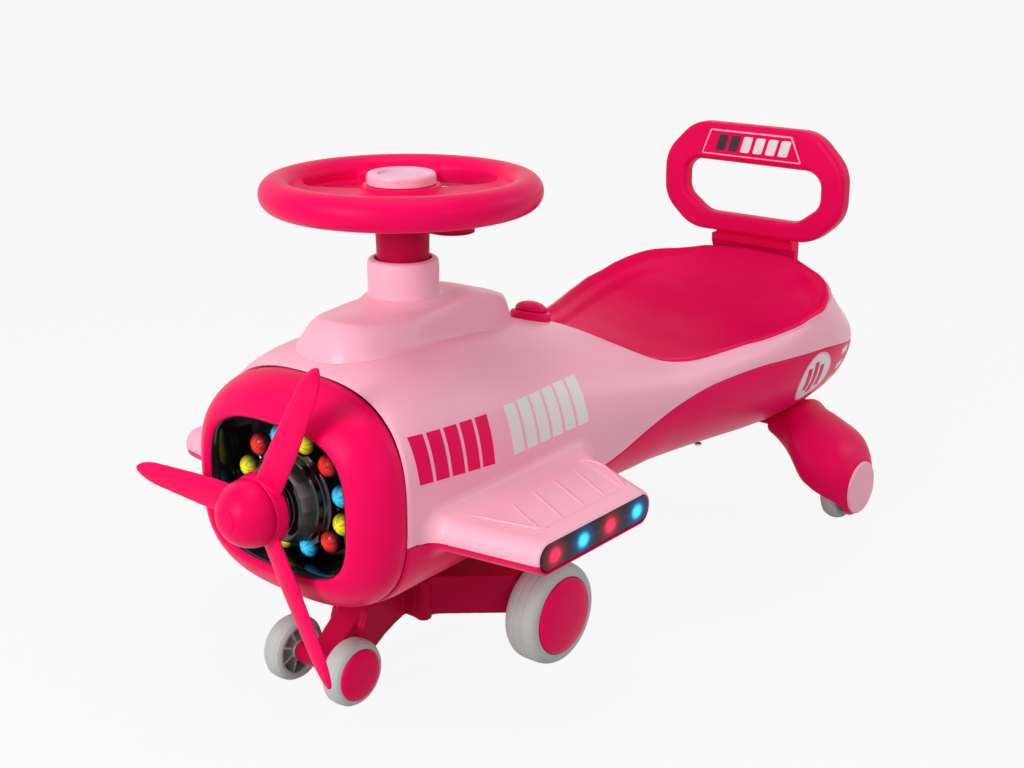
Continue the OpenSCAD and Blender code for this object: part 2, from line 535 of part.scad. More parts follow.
// backrest: stepped bracket behind the seat, loop, and label plate
rest_y = 695;
loop_z = fz(354.5);
function bez(a, p, b, u) = a * (1 - u) * (1 - u) + p * 2 * u * (1 - u) + b * u * u;
function rounded(c, r) = let (n = len(c)) [for (i = [0:n - 1]) let (p = c[i], a = c[(i + n - 1) % n] - p,
    b = c[(i + 1) % n] - p, ra = min(r, norm(a) * 0.47), rb = min(r, norm(b) * 0.47))
    for (u = [0:0.25:1]) bez(p + a * ra / norm(a), p, p + b * rb / norm(b), u)];
loop_out = [[78, 62], [116, 24], [116, -30], [80, -62], [-80, -62], [-116, -30], [-116, 24], [-78, 62]];
loop_in = [[75, 18.5], [87.5, 8], [87.5, -20], [59, -41], [-59, -41], [-87.5, -20], [-87.5, 8], [-75, 18.5]];
loop_face = [[0, 0.28], [0.1, 0.47], [0.2, 0.5], [0.8, 0.5], [0.93, 0.47], [1, 0.32], [1, -0.32],
    [0.93, -0.47], [0.8, -0.5], [0.2, -0.5], [0.1, -0.47], [0, -0.28]];
module backrest_loop() {
    o = rounded(loop_out, 15);
    q = rounded(loop_in, 10);
    color(hot_pink) rings([for (i = [len(o) - 1:-1:0]) [for (f = loop_face) let (p = lerp(q[i], o[i], f[0]))
        [p[0] * loop_w / 232, fy(rest_y) + shift_y - f[1] * loop_t, loop_z + p[1] * loop_h / 124]]], true);
}
module backrest_label() {
    // raised trapezoid frame with slanted bars inside
    k = loop_w / 232;
    q = loop_h / 124;
    function sized(t) = [for (p = t) [p[0] * k, p[1] * q]];
    function tray(g) = sized([[-65 + g, 26 + g * 0.8], [-53.5 + g * 0.8, 55 - g], [51.5 - g * 0.8, 55 - g],
        [64 - g, 26 + g * 0.8]]);
    color(label_pink) translate([0, fy(rest_y) + shift_y - loop_t / 2 - 0.3, loop_z]) rotate([90, 0, 0])
        linear_extrude(1) {
            difference() {
                polygon(tray(0));
                polygon(tray(2.2));
            }
            for (i = [0:4]) polygon(sized([[-45 + 19.5 * i, 31.5], [-39 + 19.5 * i, 49.5], [-28 + 19.5 * i,
                49.5],
                [-34 + 19.5 * i, 31.5]]));
        }
}
module backrest_bracket() {
    // block on the body behind the seat, with a narrower step under the loop
    foot = loop_z - loop_h / 2 - 0.35;
    wide = 53 * loop_w / 232;
    back = fy(700) + 10;
    function roof(x, y) = fz(top_at(section(y), x / kx)) + seam_gap;
    function line(x) = [[x, fy(700), foot - 13], [x, fy(700) - 7, foot - 13], [x, fy(700) - 7, foot - 4],
        [x, back, foot - 4], [x, back, roof(x, 700 + 10 / ky)], [x, fy(700), roof(x, 700)]];
    color(hot_pink) shifted() difference() {
        union() {
            rings([for (i = [0:8]) line(wide * (1 - i / 4))], false);
            translate([-wide + 4.5, fy(700) - 5, foot - 5]) cube([2 * wide - 9, 13, 5]);
        }
        for (s = [-1, 1]) translate([s * 30, fy(700) + 1, foot - 8]) cylinder(h = 14, r = 2.6, $fn = 32);
    }
}

// rear legs: bulged guards over the rear wheels, joined by a block under the belly
rear_y = fy(650) + shift_y;
rear_z = rear_d / 2;
rear_x = 156 * kx;
function belly_z(x, y) = let (s = section(y), v = min(abs(x) / s[0], 0.999))
    fz(s[1] - (s[1] - s[3]) * pow(1 - pow(v, s[5]), 1 / s[5]));
module rear_carriage() {
    xs = [for (i = [-4:4]) 21 * kx * i];
    ys = [for (i = [0:4]) 630 + 15 * i];
    low = belly_clearance + 1;
    color(hot_pink) difference() {
        skin([for (x = xs) [for (y = ys) [x, fy(y) + shift_y, low]]],
            [for (x = xs) [for (y = ys) [x, fy(y) + shift_y, belly_z(x / kx, y) - 0.6]]], [0, 0, 0, 0]);
        for (s = [-1, 1]) translate([s * 42 * kx, rear_y, low - 1])
            linear_extrude(3) square([56, 36], center = true);
    }
}
// rows: distance out from the wheel centre, middle along, middle height, half sizes
leg_rows = [[-71.4, -4, 104, 42, 15], [-60, -4, 101, 43, 21], [-49, -5, 97, 44, 28], [-38, -8, 89, 46, 30],
    [-27, -6, 77, 50, 36.5], [-16, -3, 65, 52, 42], [-5, -1, 57, 52, 44], [6, 0, 51, 47.5, 43], [15, 0, 45,
        40.5, 38],
    [20, 0, 41, 33.5, 32.5], [22, 0, 40, 30.5, 30]];
function leg_ring(r) = let (x = rear_x + r[0] * (r[0] < -20 ? kx : 1),
    lift = r[0] < -20 ? (belly_clearance - 94) : 0)
    [for (i = [0:23]) let (a = 15 * i, y = r[1] + r[3] * signed(cos(a), 0.85),
    z = r[2] + lift + r[4] * signed(sin(a), 0.85), yb = (y + rear_y - shift_y) / ky)
    [x, y + rear_y, x / kx < section(yb)[0] - 3 ? min(z, belly_z(x / kx, yb) - 0.6) : z]];
module rear_leg() {
    x = rear_x;
    top = rear_z + rear_d / 2;
    pin = axle_d / 2 + fit_gap;
    difference() {
        union() {
            difference() {
                rings([for (r = leg_rows) leg_ring(r)], false);
                // underside, stepping down towards the wheel
                translate([0, rear_y + 70, 0]) rotate([90, 0, 0]) linear_extrude(140) polygon([[x - 90 * kx,
                    -1],
                    [x + 18.5, -1], [x + 18.5, 26], [x + 10, 33], [x - 13, 47], [x - 22, 52], [x - 30, 59],
                    [x - 38, 68], [x - 44, belly_clearance - 17], [x - 60, belly_clearance - 12],
                    [x - 90 * kx, belly_clearance - 9]]);
                translate([x - rear_w / 2 - 1.4, rear_y, rear_z]) rotate([0, 90, 0])
                    cylinder(h = rear_w + 3, r = rear_d / 2 + 4, $fn = 64);
            }
            // inner cheek that carries the pin
            translate([x - rear_w / 2 - 7.4, rear_y, rear_z]) rotate([0, 90, 0]) cylinder(h = 6, r = 9,
                $fn = 48);
            translate([x - rear_w / 2 - 7.4, rear_y - 9, rear_z]) cube([6, 18, 34]);
        }
        translate([x - rear_w / 2 - 9, rear_y, rear_z]) rotate([0, 90, 0]) cylinder(h = rear_w + 20,
            r = pin, $fn = 48);
    }
}
module rear_leg_left() {
    color(hot_pink) rear_leg();
}
module rear_leg_right() {
    color(hot_pink) mirror([1, 0, 0]) rear_leg();
}
module rear_pins() {
    color(steel) for (s = [-1, 1]) translate([s * (rear_x - 1.5), rear_y, rear_z]) rotate([0, 90, 0])
        cylinder(h = rear_w + 15, r = axle_d / 2, center = true, $fn = 48);
}
module leg_caps() {
    color(pale_pink) for (s = [0, 1]) mirror([s, 0, 0]) translate([rear_x + 22.3, rear_y, 39.5]) rotate([0,
        90, 0])
        rotate_extrude($fn = 64) polygon([[0, 0], [29.5, 0], [29.5, 1.6], [28.4, 2.8], [0, 2.8]]);
}

// horn button ahead of the seat
horn_y = fy(290) + shift_y;
horn_z = fz(top_at(section(290), 0));
// it stands square to the slope of the body's top
horn_tilt = atan((fz(top_at(section(282), 0)) - fz(top_at(section(298), 0))) / (fy(298) - fy(282)));
module horn_at() {
    translate([0, horn_y, horn_z]) rotate([-horn_tilt, 0, 0]) children();
}
module button_base() {
    // collar whose foot follows the top of the body
    n = 24;
    function foot(a, r) = seam_gap + (fz(top_at(section(290 + r * sin(a) * cos(horn_tilt) / ky), r * cos(a) /
        kx)) - horn_z + r * sin(a) * sin(horn_tilt)) / cos(horn_tilt);
    color(hot_pink) horn_at() rings([for (i = [0:n - 1]) let (a = -360 * i / n)
        [[20.5 * cos(a), 20.5 * sin(a), foot(a, 20.5)], [19 * cos(a), 19 * sin(a), 6.2], [17.6 * cos(a),
            17.6 * sin(a), 7],
        [15.6 * cos(a), 15.6 * sin(a), 7], [15.6 * cos(a), 15.6 * sin(a), 3.6], [3 * cos(a), 3 * sin(a), 3.6],
        [3 * cos(a), 3 * sin(a), 0.5], [15 * cos(a), 15 * sin(a), foot(a, 15)]]], true);
}
module horn_button() {
    color(hot_pink) horn_at() rotate_extrude($fn = 48) polygon(concat([[0, 7.4], [15.2, 7.4], [15.2, 9.2]],
        [for (i = [1:7]) [15.2 * cos(90 * i / 7), 9.2 + 7.4 * sin(90 * i / 7)]]));
}
module body_screws() {
    // round heads under the belly
    color(steel) for (q = [[70, 330], [74, 480], [60, 575]]) for (s = [-1, 1])
        translate([s * q[0] * kx, fy(q[1]) + shift_y, belly_z(q[0], q[1]) - 4.2]) rotate_extrude($fn = 24)
            polygon([[0, 0], [2.6, 0], [4, 1.2], [4, 2.6], [0, 2.6]]);
}

// steering wheel and column, turning about the upright shaft
module steering_wheel() {
    ring = steer_d / 2 - rim_d / 2;
    web = ring - 8;
    // openings between the four spokes; those over the housings are closed below
    function hole(a) = rounded([for (q = [[43, -13], [web - 5, -24], [web - 5, -12], [web - 5, 0],
        [web - 5, 12], [web - 5, 24], [43, 13]]) [q[0] * cos(a + q[1]), q[0] * sin(a + q[1])]], 9);
    color(hot_pink) on_axis() translate([0, 0, steer_z]) difference() {
        union() {
            rotate_extrude($fn = 96) translate([ring, 0]) circle(d = rim_d, $fn = 48);
            rotate_extrude($fn = 96) polygon([[shaft_r + 0.1, -17.7], [33, -17.7], [36, -15], [37, -10.3],
                [web - 4, -9], [web + 2, -8], [web + 2, 3], [web - 4, 0], [40, -1.5], [34, 2], [33, 6],
                [shaft_r + 0.1, 6]]);
        }
        for (a = [90, 270]) translate([0, 0, -12]) linear_extrude(20) polygon(hole(a));
        for (a = [0, 180]) translate([0, 0, -6.4]) linear_extrude(16) polygon(hole(a));
    }
}
module hub_ring() {
    color(pale_pink) on_axis() translate([0, 0, steer_z]) difference() {
        rotate_extrude($fn = 96) polygon([[0, 6.3], [29.5, 6.3], [29.5, 13.2], [28.9, 15], [27.4, 16],
            [25.2, 16.4], [22, 16.4], [20.4, 15.6], [20, 14], [20, 10.5], [0, 10.5]]);
        cylinder(h = 9.9, r = shaft_r + 0.4, $fn = 48);
    }
}
module hub_button() {
    // round push button in the middle of the hub ring
    color(pale_pink) on_axis() translate([0, 0, steer_z]) rotate_extrude($fn = 96)
        polygon([[0, 12.2], [19.6, 12.2], [19.6, 13.4], [18.4, 14.4], [12, 15], [0, 15.2]]);
}
box_a = 38.5;
box_b = 76;
box_top = steer_z - 11.8;
module wheel_box() {
    // two housings under the spokes, open below, round at the outer end
    color(crimson) on_axis() for (s = [0, 1]) mirror([s, 0, 0]) translate([0, 0, box_top - 14]) difference() {
        union() {
            translate([box_b - 19, 0, 0]) cylinder(h = 14, r = 19, $fn = 48);
            translate([box_a, -19, 0]) cube([box_b - 19 - box_a, 38, 14]);
        }
        translate([0, 0, -1]) {
            translate([box_b - 19, 0, 0]) cylinder(h = 13, r = 16.6, $fn = 48);
            translate([box_a + 2.4, -16.6, 0]) cube([box_b - 19 - box_a - 2.4, 33.2, 13]);
        }
    }
}
module box_doors() {
    color(crimson) on_axis() for (s = [0, 1]) mirror([s, 0, 0]) translate([0, 0, box_top - 15.7]) union() {
        translate([box_b - 19, 0, 0]) cylinder(h = 1.4, r = 18.6, $fn = 48);
        translate([box_a + 0.4, -18.6, 0]) cube([box_b - 19 - box_a - 0.4, 37.2, 1.4]);
        translate([box_b - 19, 0, 0.6]) cylinder(h = 3, r = 16.2, $fn = 48);
    }
}
module battery_cells() {
    // flat round cells lying on the doors
    color(steel) on_axis() for (s = [0, 1]) mirror([s, 0, 0]) for (z = [0, 3.6])
        translate([box_b - 19, 0, box_top - 11.8 + z]) rotate_extrude($fn = 32)
            polygon([[0, 0], [11, 0], [12, 0.8], [12, 3.3], [0, 3.3]]);
}
module column_sleeve() {
    low = collar_z - 13;
    high = steer_z - 18;
    color(crimson) on_axis() rotate_extrude($fn = 64) polygon([[shaft_r + 0.1, low], [21.6, low], [22.2,
        low + 0.8],
        [23.7, high], [shaft_r + 0.1, high]]);
}
module steering_shaft() {
    color(steel) on_axis() union() {
        translate([0, 0, 62]) cylinder(h = steer_z + 9.5 - 62, r = shaft_r, $fn = 64);
        translate([0, 0, 53]) cylinder(h = 10, r = shaft_r - 2, $fn = 64);
    }
}
module shaft_nut() {
    color(steel) on_axis() difference() {
        union() {
            translate([0, 0, 59]) cylinder(h = 2.8, r = 17, $fn = 48);
            translate([0, 0, 52]) cylinder(h = 7, r = 12.5, $fn = 6);
        }
        translate([0, 0, 51]) cylinder(h = 12, r = shaft_r - 2 + 0.1, $fn = 48);
    }
}
plate_z = fz(94) - 0.4;
module column_bushes() {
    color(black_gloss) on_axis() {
        // lower bush with its wide flange under the belly
        rotate_extrude($fn = 64) polygon([[bore_r, plate_z - 2.4], [40, plate_z - 2.4], [40, plate_z],
            [24, plate_z], [16, plate_z + 6], [14, plate_z + 30], [bore_r, plate_z + 30]]);
        // upper bush in the collar
        rotate_extrude($fn = 64) polygon([[bore_r, boss_z - 12], [24.3, boss_z - 12], [24.3, boss_z + 14],
            [23, boss_z + 16], [bore_r, boss_z + 16]]);
    }
}

// steering frame under the nose: spine down to the small wheels, cross arm to the big ones
frame_top = plate_z - 2.7;
small_y = -112;
big_y = 60;
small_z = small_d / 2;
big_z = big_d / 2;
big_x = big_track / 2;
arm_x = big_x - big_w / 2 - 0.7;
small_x = 36.5;
module across(h) {
    translate([-h / 2, 0, 0]) rotate([90, 0, 90]) linear_extrude(h) children();
}
module steering_frame() {
    roof = frame_top - 5;
    color(crimson) on_axis() difference() {
        union() {
            difference() {
                across(42) polygon([[-62, roof], [30, roof], [30, 49], [-24, 49], [-40, 44], [-54, 38],
                    [-66, 31],
                    [-74, 25], [-82, 52], [-76, 66], [-66, 78]]);
                across(34) polygon([[-72, 20], [-68, 36], [-54, 48], [-38, 55], [-24, 59], [-24, roof - 5],
                    [24, roof - 5], [24, 40], [-50, 30]]);
            }
            // narrower front arm down to the axle tube
            across(27) polygon([[-50, roof], [-57, 81], [-72, 69], [-88, 56], [-102, 44], [-109, 40], [-114,
                38],
                [-114, 22], [-106, 21], [-97, 23], [-84, 29], [-66, 40], [-56, 50], [-56, 60], [-40, 70]]);
            difference() {
                translate([0, 0, 48.5]) linear_extrude(roof - 48.5) polygon([[-arm_x, 33], [-46, -12], [-34,
                    -31], [34, -31],
                    [46, -12], [arm_x, 33], [arm_x, 84], [-arm_x, 84]]);
                translate([0, 0, 47.5]) linear_extrude(roof - 52.5) polygon([[-arm_x + 4, 36], [-44, -7],
                    [-32, -26],
                    [32, -26], [44, -7], [arm_x - 4, 36], [arm_x - 4, 79], [-arm_x + 4, 79]]);
            }
            // axle tubes and the centre boss
            for (s = [-1, 1]) translate([s * (arm_x - 16) - 16, big_y, big_z]) rotate([0, 90, 0])
                cylinder(h = 32, r = axle_d / 2 + 6, $fn = 48);
            for (s = [-1, 1]) translate([s * (arm_x - 16) - 16, big_y - 5, big_z + 4]) cube([32, 10,
                roof - big_z - 6]);
            translate([0, small_y, small_z]) rotate([0, 90, 0]) cylinder(h = 2 * small_x - 22, r = 9.5,
                center = true, $fn = 48);
            translate([0, 0, 62]) cylinder(h = frame_top - 62, r = 24, $fn = 64);
            for (s = [-1, 1]) translate([s * 38, -23, 66]) cylinder(h = 38, r = 7, center = true, $fn = 32);
        }
        translate([0, 0, 40]) cylinder(h = 80, r = shaft_r + 0.1, $fn = 64);
        translate([0, 0, 20]) cylinder(h = 42, r = 18.5, $fn = 64);
        translate([0, big_y, big_z]) rotate([0, 90, 0]) cylinder(h = 300, r = axle_d / 2 + 0.1,
            center = true, $fn = 48);
        translate([0, small_y, small_z]) rotate([0, 90, 0])
            cylinder(h = 120, r = axle_d / 2 + 0.1, center = true, $fn = 48);
    }
}
module big_axle() {
    color(steel) on_axis() translate([0, big_y, big_z]) rotate([0, 90, 0])
        cylinder(h = 2 * (big_x + 11.5), r = axle_d / 2, center = true, $fn = 48);
}
module small_axle() {
    color(steel) on_axis() translate([0, small_y, small_z]) rotate([0, 90, 0])
        cylinder(h = 2 * (small_x + 7.5), r = axle_d / 2, center = true, $fn = 48);
}

// wheels: turned about the axle, outside face towards +X
module on_big(s) {
    on_axis() mirror([s, 0, 0]) translate([big_x, big_y, big_z]) rotate([0, 90, 0]) children();
}
module big_tyre(s) {
    h = big_w / 2;
    r = big_d / 2;
    color(tyre_grey) on_big(s) rotate_extrude($fn = 96) polygon([[r - 11, -h], [r - 6.4, -h], [r - 3.2,
        -h + 1.8],
        [r - 0.8, -h + 5.6], [r, -h + 10], [r, -5], [r - 0.9, -4.2], [r, -3.4], [r, 3.4], [r - 0.9, 4.2],
            [r, 5],
        [r, h - 10], [r - 0.8, h - 5.6], [r - 3.2, h - 1.8], [r - 6.4, h], [r - 10.8, h], [r - 11, h - 1]]);
}
module big_core(s) {
    h = big_w / 2;
    r = big_d / 2 - 11.3;
    wheel_bore = axle_d / 2 + run_gap;
    color(tyre_grey) on_big(s) union() {
        rotate_extrude($fn = 96) polygon([[wheel_bore, -h], [10, -h], [10, h - 9], [r - 3, h - 9], [r - 3,
            -h + 1], [r, -h + 1],
            [r, h - 5], [wheel_bore, h - 5]]);
        for (i = [0:7]) rotate([0, 0, 45 * i]) translate([9.6, -1.2, -h + 3]) cube([r - 12.2, 2.4,
            big_w - 11]);
    }
}
module big_cap(s) {
    h = big_w / 2;
    r = big_d / 2 - 11.5;
    color(hot_pink) on_big(s) difference() {
        rotate_extrude($fn = 96) polygon([[0, h - 4.7], [r, h - 4.7], [r, h + 0.4], [r - 0.8, h + 1.6],
            [r * 0.88, h + 3.2], [r * 0.7, h + 4.7], [r * 0.45, h + 5.8], [r * 0.2, h + 6.3], [0, h + 6.4]]);
        translate([0, 0, h - 6]) cylinder(h = 3, r = axle_d / 2 + 1, $fn = 48);
    }
}
module on_small(s) {
    on_axis() mirror([s, 0, 0]) translate([small_x, small_y, small_z]) rotate([0, 90, 0]) children();
}
module small_wheel(s) {
    r = small_d / 2;
    wheel_bore = axle_d / 2 + run_gap;
    color(tyre_grey) on_small(s) union() {
        rotate_extrude($fn = 96) polygon([[r - 5.6, -10], [r - 2.6, -8.6], [r - 0.5, -5.2], [r, 0],
            [r - 0.5, 5.2],
            [r - 2.6, 8.6], [r - 5.2, 10], [r - 6.4, 10], [r - 6.4, 8], [wheel_bore, 8], [wheel_bore,
                -10.2], [8.6, -10.2],
            [8.6, 5], [r - 8.6, 5], [r - 8.6, -9.4], [r - 7.8, -10]]);
        for (i = [0:7]) rotate([0, 0, 45 * i + 22.5]) translate([8.2, -0.9, -7.5]) cube([r - 16.4, 1.8, 13]);
    }
}
module small_cap(s) {
    r = small_d / 2 - 6.7;
    color(hot_pink) on_small(s) rotate_extrude($fn = 96) polygon([[0, 8.3], [r, 8.3], [r, 10.6], [r - 0.8,
        11.6],
        [r * 0.85, 12.8], [r * 0.62, 13.8], [r * 0.3, 14.3], [0, 14.4]]);
}
module rear_wheel(s) {
    h = rear_w / 2;
    r = rear_d / 2;
    wheel_bore = axle_d / 2 + run_gap;
    color(tyre_grey) mirror([s, 0, 0]) translate([rear_x, rear_y, rear_z]) rotate([0, 90, 0]) union() {
        rotate_extrude($fn = 96) polygon([[wheel_bore, -h], [9, -h], [9, -h + 6], [r - 9, -h + 6], [r - 9,
            -h], [r - 5, -h],
            [r - 1.6, -h + 2.4], [r, -h + 7], [r, h - 7], [r - 1.6, h - 2.4], [r - 5, h], [r - 9, h],
                [r - 9, h - 3],
            [9, h - 3], [9, h], [wheel_bore, h]]);
        for (i = [0:5]) rotate([0, 0, 60 * i]) translate([8.6, -1.2, h - 3.4]) cube([r - 17.2, 2.4, 2.6]);
    }
}
module big_tyre_left() {
    big_tyre(0);
}
module big_tyre_right() {
    big_tyre(1);
}
module big_core_left() {
    big_core(0);
}
module big_core_right() {
    big_core(1);
}
module big_cap_left() {
    big_cap(0);
}
module big_cap_right() {
    big_cap(1);
}
module small_wheel_left() {
    small_wheel(0);
}
module small_wheel_right() {
    small_wheel(1);
}
module small_cap_left() {
    small_cap(0);
}
module small_cap_right() {
    small_cap(1);
}
module rear_wheel_left() {
    rear_wheel(0);
}
module rear_wheel_right() {
    rear_wheel(1);
}

upper_shell();
lower_shell();
column_cover();
nose_cowl();
firewall();
engine_liner();
engine_core();
engine_cylinders();
engine_lenses_yellow();
engine_lenses_red();
engine_lenses_blue();
column_bushes();
seat_pan();
wing_top_left();
wing_top_right();
wing_base_left();
wing_base_right();
wing_lens_left();
wing_lens_right();
wing_lamps_red();
wing_lamps_blue();
backrest_bracket();
backrest_loop();
backrest_label();
rear_carriage();
rear_leg_left();
rear_leg_right();
rear_pins();
leg_caps();
button_base();
horn_button();
body_screws();
steering_wheel();
hub_ring();
hub_button();
wheel_box();
box_doors();
battery_cells();
column_sleeve();
steering_shaft();
shaft_nut();
steering_frame();
big_axle();
small_axle();
propeller();
spinner();
propeller_shaft();
big_tyre_left();
big_core_left();
big_cap_left();
big_tyre_right();
big_core_right();
big_cap_right();
small_wheel_left();
small_cap_left();
small_wheel_right();
small_cap_right();
rear_wheel_left();
rear_wheel_right();
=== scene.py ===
from math import acos, asin, atan, atan2, cos, degrees, exp, hypot, pi, radians, sin, sqrt, tan

import bmesh
import bpy
import numpy as np
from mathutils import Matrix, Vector


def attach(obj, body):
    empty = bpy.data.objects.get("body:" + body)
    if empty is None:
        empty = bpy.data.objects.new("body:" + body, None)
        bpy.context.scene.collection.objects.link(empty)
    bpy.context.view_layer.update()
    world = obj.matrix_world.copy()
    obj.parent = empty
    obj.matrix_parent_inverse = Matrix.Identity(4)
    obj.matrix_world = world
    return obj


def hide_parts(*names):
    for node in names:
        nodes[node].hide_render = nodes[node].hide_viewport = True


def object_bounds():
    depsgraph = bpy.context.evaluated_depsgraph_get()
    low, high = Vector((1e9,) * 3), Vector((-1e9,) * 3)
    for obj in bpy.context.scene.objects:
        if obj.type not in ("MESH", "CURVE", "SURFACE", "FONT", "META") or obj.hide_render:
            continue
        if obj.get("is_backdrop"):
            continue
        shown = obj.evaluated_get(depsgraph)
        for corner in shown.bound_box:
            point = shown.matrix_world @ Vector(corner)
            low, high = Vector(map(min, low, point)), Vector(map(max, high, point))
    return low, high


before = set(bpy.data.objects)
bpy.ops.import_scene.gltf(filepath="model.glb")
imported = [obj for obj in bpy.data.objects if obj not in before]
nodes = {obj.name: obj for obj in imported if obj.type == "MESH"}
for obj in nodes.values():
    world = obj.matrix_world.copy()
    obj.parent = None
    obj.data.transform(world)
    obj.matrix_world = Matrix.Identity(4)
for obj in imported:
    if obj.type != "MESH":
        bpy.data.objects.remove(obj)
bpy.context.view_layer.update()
print("frame loaded:", len(nodes), "parts")

# everything below is in millimetres; along the body, y is counted from the seam behind the nose ring
noseShift = -338.5    # that seam, from the middle of the footprint
axisY = -221.5        # the steering shaft, from the middle of the footprint
propHeight = 188.6    # the propeller's axis
wheelHeight = 424     # the middle of the steering wheel's rim
bothSides = ((1, "Left"), (-1, "Right"))


# ---- small tools

def tone(red, green, blue):
    def linear(v):
        v = v / 255
        return v / 12.92 if v <= 0.04045 else ((v + 0.055) / 1.055) ** 2.4
    return (linear(red), linear(green), linear(blue), 1)


def points(x, y, z):
    return np.stack([x, y, z], axis=-1)


def signedPower(v, p):
    return np.sign(v) * np.abs(v) ** p


def between(u, a, b, leanA, leanB):
    # a soft curve from a to b with the given slopes at its ends
    return (a * (1 + u * u * (2 * u - 3)) + leanA * u * (1 - u) ** 2
            + b * u * u * (3 - 2 * u) + leanB * u * u * (u - 1))


def curveAt(table, column, y):
    # reads one column of a table as a smooth curve with no overshoot
    t = np.array(table, float)
    x, v = t[:, 0], t[:, column]
    y = np.clip(np.asarray(y, float), x[0], x[-1])
    slope = np.diff(v) / np.diff(x)
    a, b = slope[:-1], slope[1:]
    both = np.where(a * b > 0, a + b, 1)
    lean = np.concatenate([[slope[0]], np.where(a * b > 0, 2 * a * b / both, 0), [slope[-1]]])
    i = np.clip(np.searchsorted(x, y, side="right") - 1, 0, len(x) - 2)
    h = x[i + 1] - x[i]
    return between((y - x[i]) / h, v[i], v[i + 1], lean[i] * h, lean[i + 1] * h)


def smoothRows(rows, steps):
    # rows of numbers or points joined by a soft curve that passes through each of them
    p = np.array(rows, float)
    flat = p.reshape(len(p), -1)
    q = np.vstack([2 * flat[0] - flat[1], flat, 2 * flat[-1] - flat[-2]])
    out = []
    for i in range(1, len(q) - 2):
        g = [max(np.linalg.norm(q[i + k] - q[i + k - 1]), 1e-6) ** 0.5 for k in range(3)]
        m, n = (g[1] * ((q[j] - q[j - 1]) / g[k] - (q[j + 1] - q[j - 1]) / (g[k] + g[k + 1])
                        + (q[j + 1] - q[j]) / g[k + 1]) for j, k in ((i, 0), (i + 1, 1)))
        out += [between(k / steps, q[i], q[i + 1], m, n) for k in range(steps)]
    return np.array(out + [flat[-1]]).reshape((-1,) + p.shape[1:])


def softCorners(outline, radius, steps=4, closed=True):
    # a flat outline with each corner turned into a small arc
    p = [np.array(q, float) for q in outline]
    n, out = len(p), []
    for i in range(n):
        if not closed and i in (0, n - 1):
            out.append(p[i])
            continue
        a, b = p[i - 1] - p[i], p[(i + 1) % n] - p[i]
        la, lb = np.linalg.norm(a), np.linalg.norm(b)
        straight = np.dot(a, b) / (la * lb) < -0.999
        if straight or min(la, lb) < 1e-6:
            out.append(p[i])
            continue
        r = min(radius, 0.48 * la, 0.48 * lb)
        s, e = p[i] + a * r / la, p[i] + b * r / lb
        for k in range(steps + 1):
            u = k / steps
            out.append(s * (1 - u) ** 2 + p[i] * 2 * u * (1 - u) + e * u * u)
    return out


def placed(name, data):
    piece = bpy.data.objects.new(name, data)
    bpy.context.scene.collection.objects.link(piece)
    return piece


def shadeRound(mesh, sharp=38):
    mesh.shade_smooth()
    mesh.set_sharp_from_angle(angle=radians(sharp))


def meshPiece(name, spots, faces, sharp=38):
    mesh = bpy.data.meshes.new(name)
    mesh.from_pydata([tuple(q) for q in np.asarray(spots, float).reshape(-1, 3) / 1000], [], faces)
    b = bmesh.new()
    b.from_mesh(mesh)
    bmesh.ops.remove_doubles(b, verts=b.verts, dist=2e-6)
    bmesh.ops.dissolve_degenerate(b, edges=b.edges, dist=1e-7)
    bmesh.ops.recalc_face_normals(b, faces=b.faces)
    b.to_mesh(mesh)
    b.free()
    shadeRound(mesh, sharp)
    return placed(name, mesh)


def ringPiece(name, rings, closed=False, sharp=38):
    # rings of points, each one round, joined one to the next; the ends are capped unless closed
    p = np.array(rings, float)
    n, m = p.shape[:2]
    faces = []
    for i in range(n if closed else n - 1):
        for j in range(m):
            k, l = (i + 1) % n, (j + 1) % m
            faces.append((i * m + j, k * m + j, k * m + l, i * m + l))
    if not closed:
        faces += [tuple(range(m)), tuple((n - 1) * m + j for j in reversed(range(m)))]
    return meshPiece(name, p, faces, sharp)


def gridNormals(p):
    # which way a sheet of points faces at each of them
    du, dv = np.gradient(p, axis=0), np.gradient(p, axis=1)
    n = np.cross(du, dv)
    return n / np.maximum(np.linalg.norm(n, axis=2, keepdims=True), 1e-9)


def skinPiece(name, outer, thick, keep=None, sharp=38, turn=1):
    # a sheet of points made into a closed skin, thick towards the far side of its normals
    outer = np.array(outer, float)
    n, m = outer.shape[:2]
    inner = outer - turn * gridNormals(outer) * thick
    if keep is None:
        keep = np.ones((n - 1, m - 1), bool)
    faces, base, kept = [], n * m, np.pad(keep, 1)
    for i, j in zip(*np.nonzero(keep)):
        a, b, c, d = i * m + j, (i + 1) * m + j, (i + 1) * m + j + 1, i * m + j + 1
        faces += [(a, b, c, d), (base + d, base + c, base + b, base + a)]
        for ni, nj, s, e in ((i, j + 1, a, d), (i + 2, j + 1, c, b), (i + 1, j, b, a), (i + 1, j + 2, d, c)):
            if not kept[ni, nj]:
                faces.append((s, e, base + e, base + s))
    used = sorted({v for f in faces for v in f})
    number = {v: k for k, v in enumerate(used)}
    spots = np.concatenate([outer.reshape(-1, 3), inner.reshape(-1, 3)])[used]
    return meshPiece(name, spots, [tuple(number[v] for v in f) for f in faces], sharp)


def turned(name, outline, place, steps=96, sharp=38):
    # an outline of (radius, height) turned about its axis and put in place
    a = np.arange(steps) * 2 * pi / steps
    p = np.array(outline, float)
    rings = points(np.outer(np.cos(a), p[:, 0]), np.outer(np.sin(a), p[:, 0]), np.tile(p[:, 1], (steps, 1)))
    return ringPiece(name, place(rings), True, sharp)


def onShaft(height):
    return lambda p: p + np.array([0, axisY, height])


def onNose(p):
    return points(p[..., 0], noseShift - p[..., 2], p[..., 1] + propHeight)


